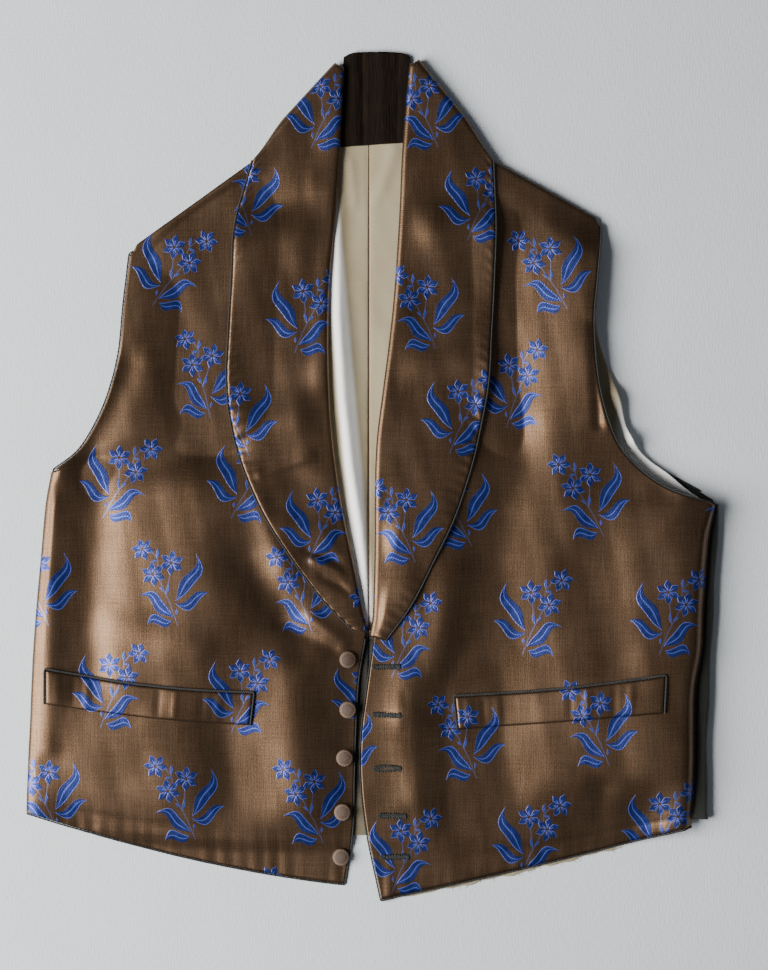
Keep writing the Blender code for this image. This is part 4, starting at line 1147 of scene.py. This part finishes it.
LEAVES = {}
for side, folds, sprays in (
    ("right", RIGHT_COLLAR_FOLDS, RIGHT_COLLAR_SPRAYS),
    ("left", LEFT_COLLAR_FOLDS, LEFT_COLLAR_SPRAYS),
):
    place, flat, hide, turns, shown = collar_leaf(FRONTS[side], folds)
    weave = weave_map(sprays)
    piece = cloth(f"collar_{side}_silk", place, weave(flat), LEAF_SHOWN, SILK_CLOTH, hide)
    belongs(piece, f"collar_{side}")
    LEAVES[side] = (place, turns, shown)


# The band of the collar: it crosses the back of the neck underneath, flat on the surface that the
# waistcoat lies on, and joins the two leaves.
BAND_BOW, BAND_TOP_RISE, BAND_TOP_WIDTH = 17.0, 10.0, 1.2
BAND_ROWS, BAND_COLUMNS = 30, 60


def collar_band():
    ends = [LEAVES[side][0][0, :LEAVES[side][2]] for side in ("right", "left")]
    share = np.linspace(0.0, 1.0, BAND_ROWS)[:, None]
    across = np.linspace(0.0, 1.0, BAND_COLUMNS)[None, :]
    picked = []
    for end in ends:
        at = np.linspace(0.0, len(end) - 1, BAND_ROWS)
        picked.append(np.stack([np.interp(at, np.arange(len(end)), end[:, k]) for k in range(2)], 1))
    place = picked[0][:, None] + (picked[1] - picked[0])[:, None] * across[..., None]
    middle = bulge(across)
    bow = mix(BAND_BOW * middle, BAND_TOP_RISE * smooth(middle * BAND_TOP_WIDTH), share)
    x, y = place[..., 0], place[..., 1] + bow
    return np.stack([x, y, NECK_LOW + 0 * x], 2), np.stack([x, y], 2)


place, flat = collar_band()
band = cloth("collar_back_silk", place, weave_map(RIGHT_COLLAR_SPRAYS)(flat), COTTON * 0.8, SILK_CLOTH)
belongs(band, "collar_back")


# Piping: a dark cord covered in black silk, sewn into the edges of the fronts, armholes, collar and
# welts. The cover is wound on the slant, so the cord looks finely twisted.
PIPING_WRAP = 1.6
PIPING_SHOWN, PIPING_LIFT, PIPING_STEP = 0.62, 0.25, 1.2
EDGE_STATIONS, HEM_STATIONS = 120, 260


def cord_cover():
    paint = Paint("piping_cord", Specular_IOR_Level=0.4, Sheen_Weight=0.2, Sheen_Roughness=0.4)
    run, round_it = paint.cloth_place()
    twist = paint.math("SINE", (run + round_it * 0.9) * (2 * math.pi / PIPING_WRAP))
    wear = paint.noise(run / 14.0, round_it / 3.0, 3.0)
    shade = wear * 0.4 + twist * 0.18 + 0.42
    colour = paint.blend(shade, (0.004, 0.005, 0.006, 1.0), (0.030, 0.030, 0.028, 1.0))
    return paint.finish(colour, 0.66 + wear * 0.08, twist, 0.14)


PIPING_CORD = cord_cover()


def moved_out(line, distance, turn):
    """A line of places moved sideways in plan, to its left (turn 1) or right (turn -1)."""
    along = unit(np.gradient(line[:, :2], axis=0))
    out = np.stack([-along[:, 1], along[:, 0]], 1) * turn
    moved = line.copy()
    moved[:, :2] += out * distance
    return moved


def evened(line, step):
    """A line of places resampled at an even step, so that corners round off."""
    run = run_along(line)
    at = np.linspace(0.0, run[-1], max(3, int(run[-1] / step)))
    return np.stack([np.interp(at, run, line[:, k]) for k in range(3)], 1)


def piping(name, node, line, turn, radius=PIPING_SHOWN):
    path = evened(moved_out(line, radius + GAP / 2, turn), PIPING_STEP)
    path[:, 2] = np.maximum(path[:, 2], radius * 1.1)
    piece = tube(name, path, radius, PIPING_CORD, sides=8, wrap=PIPING_WRAP * 2)
    belongs(piece, node)


for side, front in FRONTS.items():
    rows = np.linspace(0.0, front.underarm, EDGE_STATIONS)
    armhole, _ = front.surface(rows, np.full_like(rows, 2.0))
    piping(f"armhole_{side}_cord", f"piping_armhole_{side}", armhole, front.sign)
    rows = np.linspace(COLLAR_END + 0.1, HEM, EDGE_STATIONS)
    edge, _ = front.surface(rows, np.zeros_like(rows))
    columns = np.linspace(0.0, 2.5 if front.turned else 2.0, HEM_STATIONS)[1:]
    hem, _ = front.surface(np.full_like(columns, float(HEM)), columns)
    piping(f"front_{side}_cord", f"piping_front_{side}", np.concatenate([edge, hem]), -front.sign)
    leaf, turns, shown = LEAVES[side]
    outer = leaf[turns:, 0] + [0.0, 0.0, PIPING_LIFT]
    piping(f"collar_{side}_cord", f"piping_collar_{side}", outer, front.sign)

# A finer cord on the outer back's own armhole edge, which shows beyond the left front's.
v, x, y = back_grid("left_x", SHELL_TOP, SHELL_ROWS, 2, PIPING_ROOM)
armhole = np.stack([x[:, -1], y[:, -1], PIPING_R + 0 * v], 1)[(v > 4.0) & (v < BACK_UNDERARM - 0.2)]
piping("armhole_back_cord", None, armhole, 1, PIPING_SHOWN * 0.9)


# The pocket welts: a strip of the same silk over each pocket's mouth, laid on the front, with its figure
# matched to the cloth below. Piping edges the top and the two ends, and the strip puckers a little.
WELT = 1.5
WELT_ROWS, WELT_COLUMNS = 16, 90
WELT_REST, WELT_CROWN, WELT_PIPING = 0.45, 0.6, 0.78
WeltShape = namedtuple("WeltShape", "left_x left_y right_x right_y sag")
WELT_SHAPES = {
    "right": (WeltShape(-244, -143.5, -89.5, -161, -3.6), WeltShape(-244, -169, -92.5, -185, -2)),
    "left": (WeltShape(61.5, -164, 217, -147.5, -2.4), WeltShape(64, -188.5, 215.5, -175, -0.6)),
}
WELT_PUCKERS = ((0.06, 0.5), (0.13, -0.5), (0.20, 0.6), (0.55, -0.5), (0.63, 0.5), (0.76, -0.4), (0.84, 0.5))
WELT_PUCKER_WIDTH = 0.018
ABOVE_ALL = 78.0


class Ground:
    """The upper face of a piece, which the pieces on it are laid on."""

    def __init__(self, piece):
        mesh = piece.data
        corners = [v.co / MM for v in mesh.vertices]
        self.tree = BVHTree.FromPolygons(corners, [tuple(p.vertices) for p in mesh.polygons])

    def height(self, x, y):
        place = self.tree.ray_cast(Vector((x, y, ABOVE_ALL)), Vector((0, 0, -1)))[0]
        return place.z if place else 0.0

    def heights(self, x, y):
        found = [self.height(a, b) for a, b in zip(x.ravel(), y.ravel())]
        return np.array(found).reshape(x.shape)


def welt_line(edge, share):
    sag = edge.sag * bulge(share)
    return mix(edge.left_x, edge.right_x, share), mix(edge.left_y, edge.right_y, share) + sag


GROUNDS = {side: Ground(piece) for side, piece in FRONT_PIECES.items()}
for side, (top, bottom) in WELT_SHAPES.items():
    share = np.linspace(0.0, 1.0, WELT_COLUMNS)[None, :]
    down = np.linspace(0.0, 1.0, WELT_ROWS)[:, None]
    (high_x, high_y), (low_x, low_y) = welt_line(top, share), welt_line(bottom, share)
    x, y = mix(high_x, low_x, down), mix(high_y, low_y, down)
    z = GROUNDS[side].heights(x, y) + WELT_REST + WELT / 2 + WELT_CROWN * bulge(down)
    for at, rise in WELT_PUCKERS:
        z = z + rise * np.exp(-((share - at) / WELT_PUCKER_WIDTH) ** 2) * bulge(down) ** 0.5
    plan = np.stack([x, y], 2)
    piece = cloth(f"welt_{side}_silk", np.stack([x, y, z], 2), WEAVES[side](plan), WELT * 0.8, SILK_CLOTH)
    belongs(piece, f"pocket_welt_{side}")
    grid = np.stack([x, y, z], 2)
    rim = np.concatenate([grid[::-1, 0], grid[0, 1:], grid[1:, -1]]) + [0.0, 0.0, PIPING_LIFT]
    piping(f"welt_{side}_cord", f"piping_welt_{side}", rim, 1, WELT_PIPING)


# The buttonholes: each is a slit in the left front, worked round with close stitches of dark thread, with
# a bar across the end away from the edge. They are open a little, as holes are after wear.
Place = namedtuple("Place", "x y")
Hole = namedtuple("Hole", "x y gape lean")
BUTTONHOLES = (
    Hole(9, -141.5, 0.3, 0.02),
    Hole(9.4, -177.5, 0.5, -0.04),
    Hole(9.8, -217.5, 2, 0.03),
    Hole(13.5, -253, 1, -0.02),
    Hole(15.5, -284, 0.4, 0.05),
)
HOLE_LENGTH, HOLE_WIDTH = 19.0, 2.6
STITCH_PITCH, STITCH_R, STITCH_REACH = 0.95, 0.36, 0.95
PURL_R, BAR_R, BAR_STITCHES, BAR_PITCH, BAR_HALF = 0.48, 0.34, 4, 0.42, 2.3


def worked_thread():
    paint = Paint("buttonhole_thread", Specular_IOR_Level=0.5, Sheen_Weight=0.1)
    run, round_it = paint.cloth_place()
    twist = paint.math("SINE", (run + round_it) * (2 * math.pi / 0.5))
    tone_and_glints = paint.noise(run / 3.0, round_it / 3.0)
    shade = twist * 0.2 + tone_and_glints * 0.3 + 0.4
    colour = paint.blend(shade, (0.003, 0.005, 0.004, 1.0), (0.012, 0.018, 0.015, 1.0))
    # Painted highlight: where the noise is highest the dark thread is painted pale grey, as glints of light
    # on the stitches.
    colour = paint.blend(paint.step(tone_and_glints, 0.55, 0.2), colour, (0.20, 0.20, 0.17, 1.0))
    return paint.finish(colour, 0.5 + tone_and_glints * 0.05, twist, 0.05)


BUTTONHOLE_THREAD = worked_thread()


def slit(hole, radius, step):
    """Places round a slit that gapes in its middle, and the way out at each."""
    half = HOLE_LENGTH / 2 - HOLE_WIDTH / 2 + radius
    turns = np.linspace(0.0, 2 * math.pi, int(4 * half / step), endpoint=False)
    x = half * np.sign(np.cos(turns)) * np.abs(np.cos(turns)) ** 0.8
    deep = radius + hole.gape / 2 * (1 - (x / half) ** 2)
    y = deep * np.sign(np.sin(turns)) * np.abs(np.sin(turns)) ** 0.45
    x, y = x - y * hole.lean, y + x * hole.lean
    out = unit(np.stack([np.gradient(y), -np.gradient(x)], 1))
    return np.stack([hole.x + x, hole.y + y], 1), out


for number, hole in enumerate(BUTTONHOLES, 1):
    ground = GROUNDS["left"]
    radius = HOLE_WIDTH / 2 - 0.2
    parts = []
    t = np.linspace(-1.0, 1.0, 7)
    places, ways = slit(hole, radius, STITCH_PITCH)
    for k, ((x, y), (out_x, out_y)) in enumerate(zip(places, ways)):
        reach = STITCH_REACH * (1.0 + 0.3 * math.sin(2.4 * k + number))
        pz = ground.height(x, y) + 0.1 + STITCH_R + 0.55 * (1 - t ** 2)
        path = np.stack([x + out_x * t * reach, y + out_y * t * reach, pz], 1)
        parts.append(tube(f"stitch_{k}", path, STITCH_R, BUTTONHOLE_THREAD, sides=6, taper=True))
    for inside, lift in ((0.4, 0.55), (0.95, 0.3)):
        ring = [(x, y, ground.height(x, y) + lift) for x, y in slit(hole, radius - inside, 0.8)[0]]
        parts.append(tube(f"purl_{inside}", ring, PURL_R, BUTTONHOLE_THREAD, sides=6, closed=True, wrap=1.0))
    for k in range(BAR_STITCHES):
        x = hole.x + HOLE_LENGTH / 2 + 0.2 + BAR_PITCH * k
        pz = ground.height(x, hole.y) + 0.35 + 0.6 * (1 - t ** 2)
        bar = np.stack([x + 0 * t, hole.y + BAR_HALF * t, pz], 1)
        parts.append(tube(f"bar_{k}", bar, BAR_R, BUTTONHOLE_THREAD, sides=6, taper=True))
    piece = joined(f"buttonhole_{number}_stitches", parts)
    belongs(piece, f"buttonhole_{number}")


# The buttons: five small domed ones down the right front's edge, each a mould covered in plain brown
# silk that is gathered behind, and sewn on by a short shank of thread.
BUTTON_D, BUTTON_H = 12.7, 4.4
BUTTON_SIDES = 48
GATHERS, GATHER_DEPTH, SHANK_R = 16, 0.012, 1.2
BUTTONS = (
    Place(-18.7, -136),
    Place(-18.8, -173.5),
    Place(-21.2, -209.5),
    Place(-22.8, -250),
    Place(-24, -284),
)
Ring = namedtuple("Ring", "radius height")
BUTTON_PROFILE = (
    Ring(0.30, 0.05),
    Ring(0.62, 0.02),
    Ring(0.86, 0.14),
    Ring(0.97, 0.32),
    Ring(1.00, 0.48),
    Ring(0.97, 0.62),
    Ring(0.90, 0.72),
    Ring(0.84, 0.76),
    Ring(0.72, 0.84),
    Ring(0.55, 0.92),
    Ring(0.36, 0.97),
    Ring(0.18, 1),
)


def button_silk():
    paint = Paint("button_silk", Specular_IOR_Level=0.45, Sheen_Weight=0.15)
    across, along = paint.cloth_place()
    weave = plain_weave(paint, across, along, 0.7)
    rub = paint.noise(across / 4.0, along / 4.0, 3.0)
    radius = (across * across + along * along) ** 0.5
    # Painted highlight: the cover is painted pale in a ring round the shoulder of the dome, where its rim
    # catches the light.
    worn = paint.step(abs(radius - 5.3), 0.7, 0.8)
    colour = paint.blend(rub * 0.4 + 0.5, (0.022, 0.010, 0.005, 1.0), (0.050, 0.025, 0.014, 1.0))
    colour = paint.blend(worn * 0.7, (0.13, 0.08, 0.05, 1.0), colour)
    return paint.finish(colour, 0.5 + rub * 0.08, weave + rub, 0.06)


BUTTON_SILK = button_silk()
Tilt = namedtuple("Tilt", "x y")
BUTTON_TILTS = (Tilt(-0.30, 0.10), Tilt(0.05, 0.04), Tilt(-0.04, 0.03), Tilt(0.06, 0.02), Tilt(0.03, -0.05))
for number, (centre, tilt) in enumerate(zip(BUTTONS, BUTTON_TILTS), 1):
    ground = GROUNDS["right"]
    around = [ground.height(centre.x + dx, centre.y + dy) for dx in (-4, 0, 4) for dy in (-4, 0, 4)]
    rest = max(around) + GAP
    turns = np.arange(BUTTON_SIDES) * 2 * math.pi / BUTTON_SIDES
    points, uvs = [], []
    for ring in BUTTON_PROFILE:
        x = np.cos(turns) * ring.radius * BUTTON_D / 2
        y = np.sin(turns) * ring.radius * BUTTON_D / 2
        gather = 1.0 + GATHER_DEPTH * np.sin(turns * GATHERS) * (ring.height > 0.2) * (ring.height < 0.8)
        z = ring.height * BUTTON_H + x * tilt.x * 0.5 + y * tilt.y * 0.5
        points.append(np.stack([centre.x + x * gather, centre.y + y * gather, rest + np.maximum(z, 0.0)], 1))
        uvs.append(np.stack([x, y], 1))
    faces = []
    for ring in range(len(BUTTON_PROFILE) - 1):
        for k in range(BUTTON_SIDES):
            a, b = ring * BUTTON_SIDES + k, ring * BUTTON_SIDES + (k + 1) % BUTTON_SIDES
            faces.append((a, b, b + BUTTON_SIDES, a + BUTTON_SIDES))
    last = (len(BUTTON_PROFILE) - 1) * BUTTON_SIDES
    faces.append(tuple(range(BUTTON_SIDES)))
    faces.append(tuple(last + k for k in range(BUTTON_SIDES)))
    shape, spread = np.concatenate(points) * MM, np.concatenate(uvs) * MM
    cover = outward(made_piece(f"cover_{number}", shape, faces, spread, BUTTON_SILK))
    shank = [(centre.x, centre.y, rest - 0.6), (centre.x + 0.01, centre.y, rest + 0.5)]
    stem = tube(f"shank_{number}", shank, SHANK_R, BUTTON_SILK, sides=12)
    piece = joined(f"button_{number}_covered", [cover, stem])
    belongs(piece, f"button_{number}")


# The place for the picture: a plain pale surface, a soft window on the left, and the camera straight
# overhead, with the waistcoat's neck at the top of the frame.
FLOOR_HALF = 3.0
FRAME_HEIGHT = 970
PHOTO_MM = 0.75
CAMERA_X, CAMERA_Y, CAMERA_HEIGHT = 8.25, -5.6, 1900.0
SENSOR = 36.0
ROOM_COLOUR, ROOM_STRENGTH = (0.86, 0.91, 1.0, 1.0), 0.10


def pale_floor():
    paint = Paint("pale_floor")
    across, along = paint.two_axes(paint.node("ShaderNodeNewGeometry"))
    patch = paint.noise(across / 70.0, along / 90.0)
    grain = paint.noise(across / 6.0, along / 1.2) + paint.noise(across / 1.2, along / 6.0)
    colour = paint.blend(patch * 0.3 + grain * 0.12 + 0.5, (0.60, 0.64, 0.67, 1.0), (0.67, 0.71, 0.74, 1.0))
    return paint.finish(colour, 0.9 + patch * 0.02, grain, 0.10)


mesh = bpy.data.meshes.new("floor")
corners = [(FLOOR_HALF * x, FLOOR_HALF * y, 0) for x, y in ((-1, -1), (1, -1), (1, 1), (-1, 1))]
mesh.from_pydata(corners, [], [(0, 1, 2, 3)])
mesh.materials.append(pale_floor())
in_scene("floor", mesh)

Light = namedtuple("Light", "name x y z size power colour")
LIGHTS = (
    Light("window", -1.75, -0.34, 1.40, 1.6, 154.0, (1.0, 0.985, 0.96)),
    Light("room", 1.0, -0.6, 1.9, 2.2, 1.5, (0.86, 0.92, 1.0)),
)
for light in LIGHTS:
    lamp = bpy.data.lights.new(light.name, "AREA")
    lamp.shape = "SQUARE"
    lamp.size = light.size
    lamp.energy = light.power
    lamp.color = light.colour
    placed = in_scene(light.name, lamp)
    placed.location = (light.x, light.y, light.z)
    placed.rotation_euler = Vector((-light.x, -light.y, -light.z)).to_track_quat("-Z", "Y").to_euler()

world = bpy.data.worlds.new("soft_room")
world.use_nodes = True
world.node_tree.nodes["Background"].inputs["Color"].default_value = ROOM_COLOUR
world.node_tree.nodes["Background"].inputs["Strength"].default_value = ROOM_STRENGTH
bpy.context.scene.world = world

lens = bpy.data.cameras.new("overhead")
lens.sensor_width = SENSOR
lens.lens = SENSOR * CAMERA_HEIGHT / (FRAME_HEIGHT * PHOTO_MM)
lens.clip_start, lens.clip_end = 0.05, 20.0
camera = in_scene("overhead", lens)
camera.location = (CAMERA_X * MM, CAMERA_Y * MM, CAMERA_HEIGHT * MM)
bpy.context.scene.camera = camera
